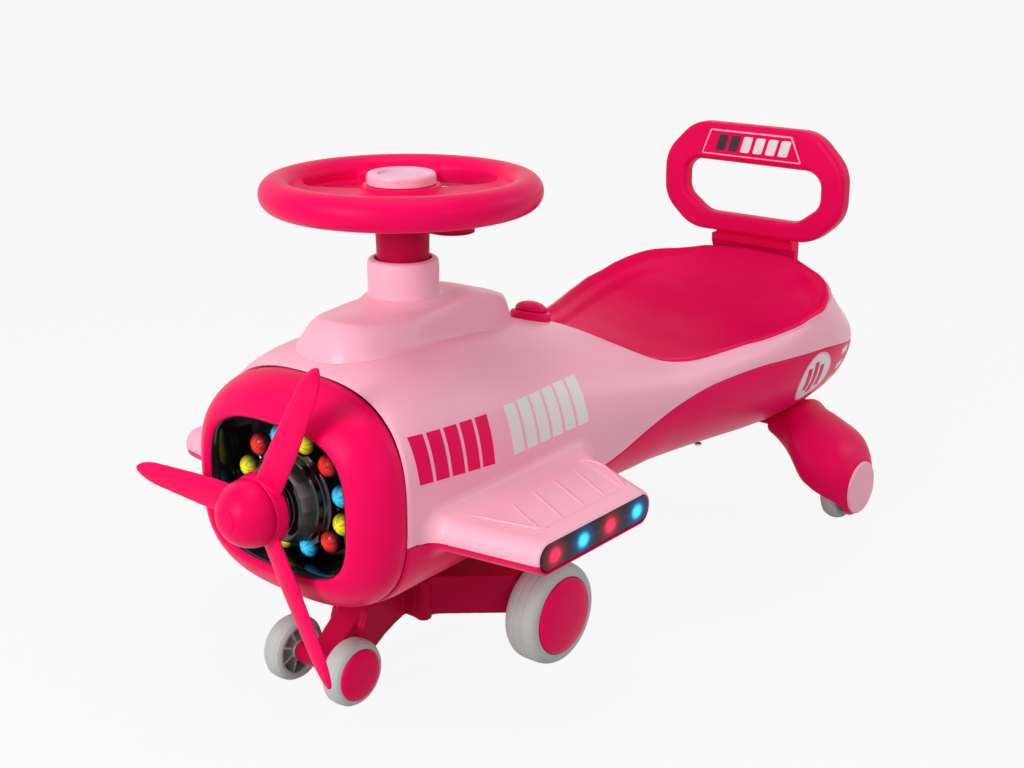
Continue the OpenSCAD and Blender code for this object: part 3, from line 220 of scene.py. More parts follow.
def onWheel(side, x, y, z):
    return lambda p: points(side * (p[..., 2] + x), p[..., 1] + y, z - p[..., 0])


def finalMesh(piece):
    bpy.context.view_layer.update()
    made = bpy.data.meshes.new_from_object(piece.evaluated_get(bpy.context.evaluated_depsgraph_get()))
    piece.modifiers.clear()
    old, piece.data = piece.data, made
    bpy.data.meshes.remove(old)


def carve(piece, *cutters, how="DIFFERENCE"):
    for c in cutters:
        step = piece.modifiers.new("carve", "BOOLEAN")
        step.operation, step.object, step.solver = how, c, "EXACT"
    finalMesh(piece)
    for c in cutters:
        bpy.data.objects.remove(c)


def moulded(piece, grain=1.2, passes=5):
    # rounds every edge a little, as a moulding has it
    step = piece.modifiers.new("grain", "REMESH")
    step.mode, step.voxel_size = "VOXEL", grain / 1000
    soft = piece.modifiers.new("soft", "SMOOTH")
    soft.factor, soft.iterations = 0.5, passes
    finalMesh(piece)
    piece.data.shade_smooth()


def flipped(piece, name):
    other = placed(name, piece.data.copy())
    for v in other.data.vertices:
        v.co.x = -v.co.x
    other.data.flip_normals()
    return other


def fit(piece, finish, *stoodFor, on="body"):
    # gives a piece its finish, the nodes it stands for and the CAD body it rides on
    piece.data.materials.clear()
    piece.data.materials.append(finish)
    if stoodFor:
        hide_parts(*stoodFor)
    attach(piece, on)


def fitPair(left, name, finish, node):
    # the left piece and its mirror
    right = flipped(left, name + "Right")
    fit(left, finish, node + "_left")
    fit(right, finish, node + "_right")


def softenedCopy(node, name, grain, finish, on="body"):
    # the drawn part with its edges rounded
    piece = placed(name, nodes[node].data.copy())
    moulded(piece, grain)
    fit(piece, finish, node, on=on)


def roundPiece(name, outline, radius, where, steps, finish, node, on):
    # an open outline from the axis to the axis, its corners softened, turned and fitted
    fit(turned(name, softCorners(outline, radius, 4, False), where, steps), finish, node, on=on)


# ---- finishes

def newFinish(name):
    finish = bpy.data.materials.new(name)
    finish.use_nodes = True
    return finish, finish.node_tree, finish.node_tree.nodes["Principled BSDF"]


def setSockets(shader, values):
    for socket, v in values.items():
        shader.inputs[socket].default_value = v


def noise(tree, scale, detail=2):
    n, place = tree.nodes.new("ShaderNodeTexNoise"), tree.nodes.new("ShaderNodeTexCoord")
    setSockets(n, {"Scale": scale, "Detail": detail})
    tree.links.new(place.outputs["Object"], n.inputs["Vector"])
    return n.outputs["Fac"]


def spread(tree, source, low, high, start=0.3, end=0.7):
    r = tree.nodes.new("ShaderNodeMapRange")
    setSockets(r, {"From Min": start, "From Max": end, "To Min": low, "To Max": high})
    tree.links.new(source, r.inputs["Value"])
    return r.outputs["Result"]


def bumped(tree, shader, source, strength, height):
    bump = tree.nodes.new("ShaderNodeBump")
    setSockets(bump, {"Strength": strength, "Distance": height / 1000})
    tree.links.new(source, bump.inputs["Height"])
    tree.links.new(bump.outputs["Normal"], shader.inputs["Normal"])


moulding = {"unevenScale": 38, "uneven": 0.03, "scuffScale": 9, "scuff": 0.05, "skinScale": 1500, "skin": 0.5,
            "coatRough": 0.12}


def plastic(name, colour, second, rough, grain=0.02, coat=0.05, spots=11, gleam=0.22, sheen=(1, 1, 1, 1)):
    # moulded plastic: slow shifts of tone, a fine skin, faint rubbed patches
    m, t, shader = newFinish(name)
    p, link = moulding, t.links.new
    mix = t.nodes.new("ShaderNodeMix")
    mix.data_type = "RGBA"
    mix.inputs[6].default_value, mix.inputs[7].default_value = tone(*colour), tone(*second)
    link(spread(t, noise(t, spots, 3), 0, 1), mix.inputs[0])
    link(mix.outputs[2], shader.inputs["Base Color"])
    rubbed = t.nodes.new("ShaderNodeMath")
    rubbed.operation = "ADD"
    uneven = spread(t, noise(t, p["unevenScale"], 4), rough - p["uneven"], rough + p["uneven"])
    link(uneven, rubbed.inputs[0])
    link(spread(t, noise(t, p["scuffScale"], 6), 0, p["scuff"], 0.56, 0.7), rubbed.inputs[1])
    link(rubbed.outputs[0], shader.inputs["Roughness"])
    bumped(t, shader, noise(t, p["skinScale"]), p["skin"], grain)
    setSockets(shader, {"Specular IOR Level": gleam, "Specular Tint": sheen, "Coat Weight": coat,
                        "Coat Roughness": p["coatRough"]})
    return m


def glowing(name, rough, power, gleam):
    # dark glossy plastic that glows by the tone painted on its points: lamp light in the wing strips, painted
    # glints on the engine's lenses
    m, t, shader = newFinish(name)
    paint = t.nodes.new("ShaderNodeVertexColor")
    paint.layer_name = "shine"
    t.links.new(paint.outputs["Color"], shader.inputs["Emission Color"])
    t.links.new(spread(t, noise(t, 260), rough * 0.7, rough * 1.5, 0, 1), shader.inputs["Roughness"])
    setSockets(shader, {"Base Color": (0.006, 0.005, 0.009, 1), "Specular IOR Level": gleam,
                        "Emission Strength": power})
    return m


def metal(name, colour, rough):
    # turned steel with fine uneven polish
    m, t, shader = newFinish(name)
    polish = noise(t, 420, 4)
    t.links.new(spread(t, polish, rough * 0.75, rough * 1.3, 0, 1), shader.inputs["Roughness"])
    bumped(t, shader, polish, 0.4, 0.02)
    setSockets(shader, {"Base Color": tone(*colour), "Metallic": 1})
    return m


pinkSheen = (1, 0.45, 0.75, 1)
hotPink = plastic("hotPink", (236, 6, 88), (229, 5, 83), 0.38, coat=0, gleam=0.12, sheen=pinkSheen)
deepPink = plastic("deepPink", (190, 8, 64), (180, 7, 58), 0.42, 0.03, coat=0, gleam=0.12, sheen=pinkSheen)
palePink = plastic("palePink", (247, 178, 198), (243, 171, 192), 0.36)
softWhite = plastic("softWhite", (232, 228, 228), (224, 220, 220), 0.42)
charcoal = plastic("charcoal", (58, 46, 54), (50, 40, 48), 0.42)
tyreGrey = plastic("tyreGrey", (190, 195, 192), (178, 183, 181), 0.55, 0.06, coat=0, spots=30)
glossBlack = plastic("glossBlack", (20, 20, 23), (13, 13, 16), 0.14, 0.008, coat=0.3, gleam=0.5)
# grey for the hub's band: a painted reflection on the black cone
paintedReflectionBand = plastic("paintedReflectionBand", (66, 69, 69), (48, 50, 50), 0.17, 0.01, spots=60, gleam=0.9)
lilacPink = plastic("lilacPink", (226, 184, 208), (221, 178, 203), 0.36)
brightSteel = metal("brightSteel", (196, 199, 204), 0.3)
print("finishes ready")


# ---- the body shells

body = {
    # along, half width, widest level, top, bottom, upper and lower squareness
    "rows": [
        [0, 112, 192, 293, 95, 2.8, 2.8], [14, 112.4, 191.5, 300, 94.3, 2.8, 2.8],
        [34, 112.8, 191, 305, 94, 2.8, 2.7], [60, 113, 190, 307.5, 94, 2.75, 2.6],
        [100, 112.6, 188, 307, 94.6, 2.65, 2.55], [140, 112, 186, 304, 96, 2.5, 2.5],
        [220, 110, 184, 290, 101, 2.35, 2.4], [300, 112, 188, 274.5, 106, 2.3, 2.3],
        [340, 115, 192, 263, 107, 2.35, 2.3], [380, 120, 196, 251, 107, 2.4, 2.2],
        [420, 127, 200, 247, 106, 2.5, 2.2], [460, 134, 205, 246.5, 104, 2.6, 2.2],
        [500, 141, 207, 251, 102, 2.75, 2.2], [540, 148, 209, 260, 100, 2.9, 2.2],
        [580, 151.5, 211, 274, 99, 3.0, 2.2], [615, 152, 212, 280, 100, 2.9, 2.2],
        [650, 148, 211, 279, 102, 2.75, 2.2], [690, 136, 205, 275, 106, 2.0, 2.2],
        [725, 109, 197, 249, 117, 1.85, 2.2], [755, 70, 191, 220, 141, 1.9, 2.2],
        [768, 32, 190, 204, 167, 2.0, 2.1], [772, 3, 189, 192, 186, 2.0, 2.0]],
    "seam": [[0, 165], [30, 165], [120, 160], [224, 157], [262, 157], [290, 163], [330, 178],
             [380, 194], [430, 204], [500, 208], [600, 205], [700, 192], [772, 187]],
    "rim": [[0, 42], [180, 42], [240, 34], [285, 12], [300, 9], [306, 20], [315, 42], [327, 62],
            [347, 81], [370, 95], [395, 105], [420, 112], [450, 118], [480, 124], [500, 130], [540, 140],
            [570, 145], [600, 146], [625, 140], [645, 128], [662, 112], [680, 90], [692, 69], [698, 53],
            [725, 44], [755, 24], [772, 1]],
    "dip": [[300, 273.5], [320, 263.5], [345, 251], [370, 240], [400, 228], [440, 215], [500, 205],
            [560, 203], [610, 209], [650, 226], [675, 246], [690, 264], [698, 274]],
    # how far the tail's shoulders are drawn in, and the height of the seat's rolled rim
    "tuck": [[560, 0], [600, 2], [625, 4], [650, 7], [675, 11], [700, 13], [725, 11], [755, 4], [772, 0]],
    # the bowl: distance from the sides, the rear and the front, and its drop
    "bowlFrom": (22, 42, 60), "bowlDrop": 4,
    "roll": [[300, 0], [360, 0.5], [430, 2.5], [520, 3.5], [600, 5], [660, 6.5], [698, 6]],
    "seatFrom": 300, "seatTo": 698, "ledge": 3.8, "wall": 2.6, "seamGap": 0.35, "seatGap": 0.8, "end": 772,
    # the round hole for the steering shaft
    "holeRadius": 27, "holeAt": 117,
}
# how far a moulded edge falls away, by the distance from it
edgeAt = np.array([0, 0.25, 0.7, 1.4, 2.4])
edgeFall = np.array([1.1, 0.62, 0.26, 0.07, 0])


def along(name, y):
    return float(curveAt(body[name], 1, y))


def section(y):
    return [float(curveAt(body["rows"], k, y)) for k in range(1, 7)]


def onSection(s, a):
    c, h = np.cos(a), np.sin(a)
    up = h >= 0
    n = np.where(up, s[4], s[5])
    return np.stack([s[0] * signedPower(c, 2 / n),
                     s[1] + np.where(up, s[2] - s[1], s[1] - s[3]) * signedPower(h, 2 / n)], axis=-1)


def angleOfX(s, x):
    return acos(min(x / s[0], 1) ** (s[4] / 2))


def angleOfZ(s, z):
    if z >= s[1]:
        return asin(min((z - s[1]) / (s[2] - s[1]), 0.98) ** (s[4] / 2))
    return -asin(min((s[1] - z) / (s[1] - s[3]), 0.98) ** (s[5] / 2))


def topAt(s, x):
    return s[1] + (s[2] - s[1]) * (1 - np.minimum(np.abs(x) / s[0], 1) ** s[4]) ** (1 / s[4])


def sideAt(y, z):
    s = section(y)
    return float(onSection(s, np.array(angleOfZ(s, z)))[0])


def seatHeight(y, x):
    s, r = section(y), along("rim", y)
    edge = float(topAt(s, r))
    low = min(along("dip", y), edge + 12)
    return low + (edge - low) * np.minimum(np.abs(x) / r, 1) ** 2.3


def bowlDip(y, x):
    # the bowl itself lies a little lower than the band round it
    a, b, c = body["bowlFrom"]
    start, end = body["seatFrom"], body["seatTo"]
    u = np.maximum(along("rim", y) - body["seatGap"] - np.abs(x), 0.1)
    b, c = b / (end - min(y, end - 1)), c / (max(y, start + 1) - start)
    inside = 1 / ((a / u) ** 4 + b ** 4 + c ** 4) ** 0.25
    s = np.clip((inside - 0.82) / 0.36, 0, 1)
    return body["bowlDrop"] * s * s * (3 - 2 * s)


def alongLine(line, count):
    # the line again, with close points at both ends and even ones between
    d = np.concatenate([[0], np.cumsum(np.linalg.norm(np.diff(line, axis=0), axis=1))])
    ends = edgeAt * min(1, d[-1] / 12)
    at = np.concatenate([ends, np.linspace(ends[-1], d[-1] - ends[-1], count)[1:-1], d[-1] - ends[::-1]])
    return np.stack([np.interp(at, d, line[:, k]) for k in range(2)], axis=1)


def fallen(line, amounts):
    # points of a line in the cross section drawn inwards
    t = np.gradient(line, axis=0)
    n = np.stack([t[:, 1], -t[:, 0]], axis=1)
    n /= np.maximum(np.linalg.norm(n, axis=1, keepdims=True), 1e-9)
    inwards = np.where((n * (line - [0, 190])).sum(1, keepdims=True) > 0, -n, n)
    return line + inwards * np.asarray(amounts)[:, None]


def wholeRow(half, y):
    full = np.vstack([half, half[-2::-1] * [-1, 1]])
    return points(full[:, 0], np.full(len(full), y + noseShift), full[:, 1])


def inSeat(y):
    return body["seatFrom"] <= y <= body["seatTo"]


def frontFall(y):
    # the bright bevelled lip at the front edge
    return float(np.interp(y, [0, 0.4, 1.6, 2.6, 4], [1.5, 1.1, 0.28, 0.06, 0]))


def seamFall(line, y):
    # rounded along the seam, which fades out at the tail's end
    fall = np.zeros(len(line)) + frontFall(y)
    fall[:5] = np.maximum(fall[:5], edgeFall * min(1, (body["end"] - y) / 20))
    return fall


def upperRow(y):
    s = section(y)
    r = min(along("rim", y), 0.75 * s[0] + (60 if inSeat(y) else 0))
    a0, a1 = angleOfZ(s, along("seam", y)), angleOfX(s, r)
    u = np.linspace(0, 1, 260)
    drawn = along("tuck", y) * np.sin(pi * u ** 1.2)
    side = alongLine(onSection(s, a0 + (a1 - a0) * u) - np.stack([drawn, 0 * u], axis=1), 34)
    fall = seamFall(side, y)
    if inSeat(y):
        fall[-5:] = np.maximum(fall[-5:], edgeFall[::-1])
    side = fallen(side, fall)
    x = (r - body["seamGap"]) * (1 - np.linspace(0, 1, 15))
    z = seatHeight(y, x) - body["ledge"] - bowlDip(y, x) if inSeat(y) else topAt(s, x) - frontFall(y)
    return wholeRow(np.vstack([side, np.stack([x, z], axis=1)]), y)


def lowerRow(y):
    s = section(y)
    a0 = angleOfZ(s, along("seam", y) - body["seamGap"])
    line = alongLine(onSection(s, np.linspace(a0, -pi / 2, 260)), 40)
    return wholeRow(fallen(line, seamFall(line, y)), y)


frontStations = [0, 0.4, 1.4, 2.4, 3.2, 4.4, 6.5, 10]
tailStations = list(np.arange(705, 765, 5)) + [766, 769, 771, 772]
upperStations = frontStations + list(np.arange(16, 296, 7)) + [299.5, 300, 300.5, 301.5, 303.5] + \
    list(np.arange(307, 697, 6.5)) + [697.6, 698, 698.5, 700] + tailStations
lowerStations = frontStations + list(np.arange(16, 700, 9)) + tailStations


def shellPiece(name, rowOf, stations):
    p = np.array([rowOf(float(y)) for y in stations])
    # the tail's end is drawn together to a point on the seam
    tip = p[-1][0] * [0, 1, 1]
    p = np.concatenate([p, [tip + (p[-1] - tip) * k + [0, 0.06 * (1 - k), 0] for k in (0.6, 0.25, 0.02)]])
    mid = (p[:-1, :-1] + p[1:, 1:]) / 2
    away = np.hypot(mid[..., 0], mid[..., 1] - (body["holeAt"] + noseShift))
    outwards = np.sign((gridNormals(p)[20, 8] * [1, 0, 0]).sum()) * np.sign(p[20, 8, 0])
    return skinPiece(name, p, body["wall"], away > body["holeRadius"], turn=outwards)


fit(shellPiece("bodyTop", upperRow, upperStations), palePink, "upper_shell")
fit(shellPiece("bodyBelly", lowerRow, lowerStations), hotPink, "lower_shell")


def seatRow(y):
    # a rolled rim runs round the bowl
    r = along("rim", y) - body["seatGap"]
    fromEdge = [0, 0.4, 1, 1.8, 2.8, 4, 5.2, 6.5, 8, 9.5, 11]
    if r > 62:
        u = np.concatenate([fromEdge, np.linspace(11, 38, 14)[1:], np.linspace(38, r, 13)[1:]])
    else:
        u = np.concatenate([fromEdge, np.linspace(11, r, 26)[1:]]) if r > 24 else np.linspace(0, r, 36)
    x = r - u
    edge = np.minimum(u, body["seatTo"] - body["seatGap"] - y)
    roll = np.where(edge > 11, 0, np.sin(pi * (np.minimum(edge, 11) + 3) / 14) ** 2)
    z = seatHeight(y, x) + roll * along("roll", y)
    z -= np.interp(edge, [0, 0.4, 1, 1.8, 2.8], [1.6, 0.8, 0.3, 0.07, 0]) * min(1, r / 30)
    z -= bowlDip(y, x)
    return wholeRow(np.stack([x, z], axis=1), y)


seatStations = [300.8, 301.4, 302.4] + list(np.arange(305, 640, 5)) + list(np.arange(640, 672.5, 2.5)) + \
    [675, 680, 685, 687, 689, 691, 692.5, 694, 695.2, 696.2, 696.8, 697.2]
seatGrid = np.array([seatRow(float(y)) for y in seatStations])
seatSide = np.sign(gridNormals(seatGrid)[30, 36, 2])
fit(skinPiece("seatBowl", seatGrid, 2.8, turn=seatSide), hotPink, "seat_pan")
print("shells made")


# ---- bars and marks on the shells

def sidePatch(name, corners, finish, lift=0.22, cells=(10, 10), side=1):
    # a thin slip that lies on the flank; corners are (along, height) pairs in order
    c = np.array(corners, float)
    u, v = np.meshgrid(np.linspace(0, 1, cells[0]), np.linspace(0, 1, cells[1]), indexing="ij")
    yz = (c[0] * ((1 - u) * (1 - v))[..., None] + c[1] * (u * (1 - v))[..., None]
          + c[2] * (u * v)[..., None] + c[3] * ((1 - u) * v)[..., None])
    slip(name, yz, finish, lift, side)


def slip(name, yz, finish, lift, side):
    # lays a grid of (along, height) pairs on the flank as a thin skin
    p = np.array([[[side * sideAt(y, z), y + noseShift, z] for y, z in row] for row in yz])
    n = gridNormals(p)
    turn = np.sign(n[..., 0].mean()) * side
    fit(skinPiece(name, p + n * turn * lift, lift * 2, turn=turn, sharp=60), finish)


# how many bars, and the row's corners: left top, left low, right top, right low
stripes = {"gap": 0.2, "pink": (5, (10, 255), (14, 215.5), (107.5, 250.5), (109.5, 207.5)),
           "white": (6, (128, 251), (131.5, 208), (244.5, 250), (244.5, 208.5))}


def stripeRow(label, count, *corners, finish):
    a, b, c, d = (np.array(q, float) for q in corners)
    for k in range(count):
        s, e = k / count, (k + 1 - stripes["gap"]) / count
        box = [a + (c - a) * s, a + (c - a) * e, b + (d - b) * e, b + (d - b) * s]
        for side, tag in bothSides:
            sidePatch(label + tag + str(k), box, finish, side=side)


stripeRow("pinkBar", *stripes["pink"], finish=hotPink)
stripeRow("whiteBar", *stripes["white"], finish=softWhite)


def disc(name, y, z, radius, inner, finish, lift, side):
    # a round slip on the flank; inner is the radius of the hole in it
    r = np.linspace(inner, radius, 9)[:, None]
    a = np.linspace(0, 2 * pi, 49)[None, :]
    # the flank turns away towards the tail, so the disc is measured along its slope
    slope = hypot(1, (sideAt(y + 10, z) - sideAt(y - 10, z)) / 20)
    rise = hypot(1, (sideAt(y, z + 6) - sideAt(y, z - 6)) / 12)
    yz = np.stack([y + r * np.cos(a) / slope, z + r * np.sin(a) / rise], axis=-1)
    slip(name, yz, finish, lift, side)


roundel = {"y": 592, "z": 174.5, "radius": 30, "barHalves": (13, 18, 13), "barStep": 12}
tailBars = [(657, 190), (653, 173), (647, 156)]
for side, tag in bothSides:
    y, z, r = roundel["y"], roundel["z"], roundel["radius"]
    disc("roundelRing" + tag, y, z, r, r - 2.6, palePink, 0.22, side)
    disc("roundelFace" + tag, y, z, r - 2.4, 0.01, softWhite, 0.3, side)
    for k, tall in enumerate(roundel["barHalves"]):
        u = y - 17 + roundel["barStep"] * k
        sidePatch("roundelBar" + tag + str(k), [(u - 3, z + tall), (u + 5, z + tall), (u + 9, z - tall),
                                                (u + 1, z - tall)], hotPink, 0.5, (6, 10), side)
    for k, (ym, zm) in enumerate(tailBars):
        sidePatch("tailBar" + tag + str(k), [(ym - 9, zm + 3.2), (ym + 7, zm + 5), (ym + 9, zm - 2),
                                             (ym - 7, zm - 4)], softWhite, 0.3, (8, 5), side)
print("bars laid")


# ---- the raised cover with the collar

cover = {
    # along from the shaft, half width of the skirt and of the deck, the deck's rise
    "rows": [[-108, 58, 40, -5], [-87, 57.5, 40, -4.5], [-57, 54, 38.5, -3.2], [-34, 51, 38, -1.2],
             [-10, 46, 38, 0], [10, 44, 38, 0], [50, 40, 36.5, 0], [73, 39, 35.5, -4.5], [98, 38, 34.5, -13],
             [119, 37, 33.5, -19.5], [141, 35, 32, -30]],
    "skirt": (108, 135.5), "deck": (87, 119), "deckHeight": 334, "collarTop": 367, "collarRadius": 30.8,
    "boreRadius": 24.6, "square": 2.6, "wall": 3,
    # from skirt to deck: outwards share and height share, at the nose end and along the sides
    "nose": [(0, 0), (0.06, 0.1), (0.14, 0.21), (0.24, 0.34), (0.35, 0.48), (0.47, 0.61), (0.6, 0.735),
             (0.75, 0.86), (0.93, 0.972)],
    "sides": [(0, 0), (0.13, 0.025), (0.26, 0.1), (0.38, 0.24), (0.48, 0.4), (0.58, 0.57), (0.7, 0.74),
              (0.82, 0.87), (0.93, 0.96)],
    "flare": 3, "crown": 6.5,
}


def coverOval(a, column, reach):
    x, y = signedPower(np.array([cos(a), sin(a)]), 2 / cover["square"])
    y = (reach[0] if y < 0 else reach[1]) * float(y)
    return np.array([float(curveAt(cover["rows"], column, y)) * float(x), y])


def coverRing(a):
    c = cover
    b, d = coverOval(a, 1, c["skirt"]), coverOval(a, 2, c["deck"])
    front = min(1, max(0, (-sin(a) - 0.55) / 0.35))
    front = front * front * (3 - 2 * front)
    b = b * (1 + c["flare"] * (1 - front) / np.linalg.norm(b))

    def deckZ(q):
        return c["deckHeight"] + float(curveAt(c["rows"], 3, q[1])) - c["crown"] * (q[0] / 38) ** 2

    def bodyZ(q):
        return float(topAt(section(q[1] + body["holeAt"]), q[0])) + 0.05 + 0.2 * front

    def around(r):
        return np.array([r * cos(a), r * sin(a)])

    soft = []
    for (u0, v0), (u1, v1) in zip(c["sides"], c["nose"]):
        u, v = u0 + (u1 - u0) * front, v0 + (v1 - v0) * front
        q = b + (d - b) * u
        soft.append((q, bodyZ(q) + (deckZ(d) - bodyZ(q)) * v))
    soft += [(d * 0.998, deckZ(d) - 0.35), (d * 0.982, deckZ(d) + 0.1)]
    for u in (0, 1 / 3, 2 / 3):
        q = d * 0.95 * (1 - u) + around(c["collarRadius"] + 2.4) * u
        soft.append((q, deckZ(q)))
    top, r, high = c["deckHeight"], c["collarRadius"], c["collarTop"]
    soft += [(around(r + 2.4), top + 0.5), (around(r + 0.7), top + 1.6), (around(r), top + 3.6),
             (around(r), high - 4), (around(r - 1.2), high - 1.2), (around(r - 4), high),
             (around(c["boreRadius"] + 0.6), high - 0.2)]
    outer = smoothRows([[q[0], q[1], z] for q, z in soft], 4)
    w, bore = c["wall"], c["boreRadius"]
    di, bi = d * (1 - w / np.linalg.norm(d)), b * (1 - w / np.linalg.norm(b))
    mid = bi + (di - bi) * 0.7
    hard = [(around(bore), high - 1.2), (around(bore), top - 12), (around(bore + 3), top - 12),
            (around(bore + 3), top - 3), (di * 0.95, deckZ(di) - w),
            (mid, bodyZ(bi) + (deckZ(di) - w - bodyZ(bi)) * 0.7), (bi, bodyZ(bi))]
    ring = np.vstack([outer, [[q[0], q[1], z] for q, z in hard]])
    return ring + [0, axisY, 0]


fit(ringPiece("columnCover", [coverRing(a) for a in np.linspace(0, 2 * pi, 144, endpoint=False)], True),
    palePink, "column_cover")


# ---- nose ring

nose = {
    # along, half width, top, bottom, squareness; the soft rows show, the hard ones are behind
    "soft": [[-0.12, 109.9, 290.8, 97.2, 2.8], [-0.7, 110.2, 290.9, 96.9, 2.8], [-3, 110.3, 290.9, 96.7, 2.8],
             [-9, 110.8, 290.9, 96.4, 2.8], [-19, 109, 287, 99.5, 2.8],
             [-29, 103.5, 280, 106, 2.9], [-36, 96.5, 271.5, 114, 3.05], [-40.5, 89.5, 264.5, 122, 3.15],
             [-41.5, 84.8, 260, 126.5, 3.25], [-39, 80.6, 257, 130, 3.35], [-32, 78.5, 255.5, 131.8, 3.5],
             [-8, 78, 255, 132.3, 3.5]],
    "hard": [[-8, 81, 258, 129.3, 3.5], [-30, 82, 259, 128, 3.5], [-36, 87, 262.5, 125, 3.3],
             [-32, 94, 269, 117, 3.05], [-26, 100.5, 277, 109, 2.9], [-17, 105.5, 283.5, 103.5, 2.8],
             [-8, 106.9, 287, 100.6, 2.8], [7, 106.4, 287.1, 100.7, 2.8], [7, 107.4, 288.1, 99.7, 2.8],
             [0.4, 107.6, 288.3, 99.5, 2.8]],
    "liner": [[-0.3, 77.5, 254.5, 132.9, 3.5], [-31, 77.9, 254.9, 132.5, 3.5],
              [-36.5, 79.3, 256, 131.3, 3.42], [-38.6, 80, 256.5, 130.7, 3.37],
              [-39, 79.7, 256.2, 131, 3.37], [-37.6, 78.3, 255, 132.3, 3.42],
              [-31, 76.6, 253.5, 133.9, 3.5], [-0.3, 75.6, 252.5, 134.9, 3.5]],
    "level": 192,
}


def noseRing(row, count=160):
    a = np.arange(count) * 2 * pi / count
    up = np.sin(a)
    n = row[4] - np.where(up > 0, 0.2 * up, 0)
    level = nose["level"]
    rise = np.where(up >= 0, row[2] - level, level - row[3])
    return points(row[1] * signedPower(np.cos(a), 2 / n), np.full(count, row[0] + noseShift),
                  level + rise * signedPower(up, 2 / n))


noseRows = list(smoothRows(nose["soft"], 5)) + [np.array(r) for r in nose["hard"]]
fit(ringPiece("noseRing", [noseRing(r) for r in noseRows], True), hotPink, "nose_cowl")
fit(ringPiece("bayLining", [noseRing(r) for r in nose["liner"]], True), glossBlack, "engine_liner")


# ---- engine bay

engine = {
    "heads": 12, "circle": 57.5, "riseAbove": 51, "riseBelow": 42, "lampFoot": 15.7, "lampRadius": 9.5,
    "lampHeight": 7, "order": {"yellow": 2, "red": 1, "blue": 0},
    # the hub's outline from its foot to its front, and the band round its cone, a grey sheet whose tone
    # paints a lamp's reflection on the black gloss, besides its own glossy reflections
    "hub": [(12.4, 0.4), (49, 0.4), (49, 4.5), (46, 6.5), (45.5, 20), (44, 21.5), (39.5, 22.3), (38.5, 27.5),
            (37, 28.2), (31.5, 41), (30, 42), (26, 43), (25.5, 47.5), (12.4, 47.5)],
    "band": [(36.2, 29), (37.3, 29), (32.5, 40.4), (31.4, 40.4)], "pocketRadius": 10.4,
    # painted glint colours of each lens: the bright painted highlight, then the darker painted lens round it
    "yellow": (tone(255, 240, 30), tone(120, 110, 0)), "red": (tone(255, 50, 40), tone(120, 8, 10)),
    "blue": (tone(60, 215, 255), tone(10, 70, 150)),
}


def headAt(i, height):
    a = radians(15 + 30 * i)
    rise = engine["riseAbove" if sin(a) > 0 else "riseBelow"]
    return np.array([engine["circle"] * cos(a), rise * sin(a), height])


def paintPoints(piece, colourOf):
    layer = piece.data.color_attributes.new("shine", "FLOAT_COLOR", "POINT")
    for k, v in enumerate(piece.data.vertices):
        layer.data[k].color = colourOf(v.co * 1000)


def joined(pieces, name):
    target = bmesh.new()
    for p in pieces:
        target.from_mesh(p.data)
        bpy.data.objects.remove(p)
    mesh = bpy.data.meshes.new(name)
    target.to_mesh(mesh)
    target.free()
    shadeRound(mesh)
    return placed(name, mesh)


def paintedGlintTone(p, centres, bright, dark):
    # a painted glint: a bright fan of spokes over a darker lens, the facet highlights of a lit reflector
    # painted as glowing colour
    q = np.array(p)
    c = min(centres, key=lambda o: np.linalg.norm(o - q))
    d = q - c
    r = hypot(d[0], d[2]) / engine["lampRadius"]
    turn = atan2(d[2], d[0]) + c[0]
    spoke = min(1, 0.25 + abs(sin(2.5 * turn)) * 3 + max(0, 0.45 - r) * 3)
    fan = 0.45 + 0.55 * (0.5 + 0.5 * cos(5 * turn)) ** 0.6
    return dark * (0.1 + 0.35 * max(0, 1 - r)) + bright * fan * max(0, 1 - r ** 1.7) * spoke


lampOutline = [(0, 2)] + [(engine["lampRadius"] * cos(a), 2 + engine["lampHeight"] * sin(a))
                          for a in np.linspace(0, pi / 2, 26)]
# these lenses are no lamps: their glow is painted glint, painted highlights laid on as emission
enginePaintedGlint = glowing("enginePaintedGlint", 0.16, 1.25, 0.12)
for label, start in engine["order"].items():
    places = [headAt(i, engine["lampFoot"]) for i in range(start, engine["heads"], 3)]
    lamps = joined([turned("lamp", lampOutline, lambda p, at=at: onNose(p + at), 72, 80) for at in places],
                   label + "Lamps")
    centres = [onNose(at) for at in places]
    bright, dark = (np.array(c) for c in engine[label])
    paintPoints(lamps, lambda p: paintedGlintTone(p, centres, bright, dark))
    fit(lamps, enginePaintedGlint, "engine_lenses_" + label)

hub = turned("engineHub", softCorners(engine["hub"], 0.8), onNose)
carve(hub, *[turned("pocket", [(0, 0), (engine["pocketRadius"], 0), (engine["pocketRadius"], 31), (0, 31)],
                    lambda p, at=headAt(i, -1): onNose(p + at), 40) for i in range(engine["heads"])])
shadeRound(hub.data, 35)
fit(hub, glossBlack, "engine_core")
# the grey band on the cone is a painted reflection of a lamp
fit(turned("hubPaintedReflection", engine["band"], onNose, 18, 8), paintedReflectionBand)
print("nose made")


# ---- propeller and spinner

propeller = {
    "spinnerRadius": 31.5, "root": 20, "reach": 155.5, "chord": 26.5, "middle": 57.6, "wideTo": 0.35,
    "roundFrom": 0.78,
    # at the hub and at the tip: half thickness, twist
    "thick": (4.4, 1.8), "twist": (11, 5), "bore": 4.1, "domeFoot": 65.6, "domeHeight": 29.1,
    "drum": [(4.1, 52), (30.3, 52), (31.5, 53.4), (28.9, 64), (4.1, 64)],
}


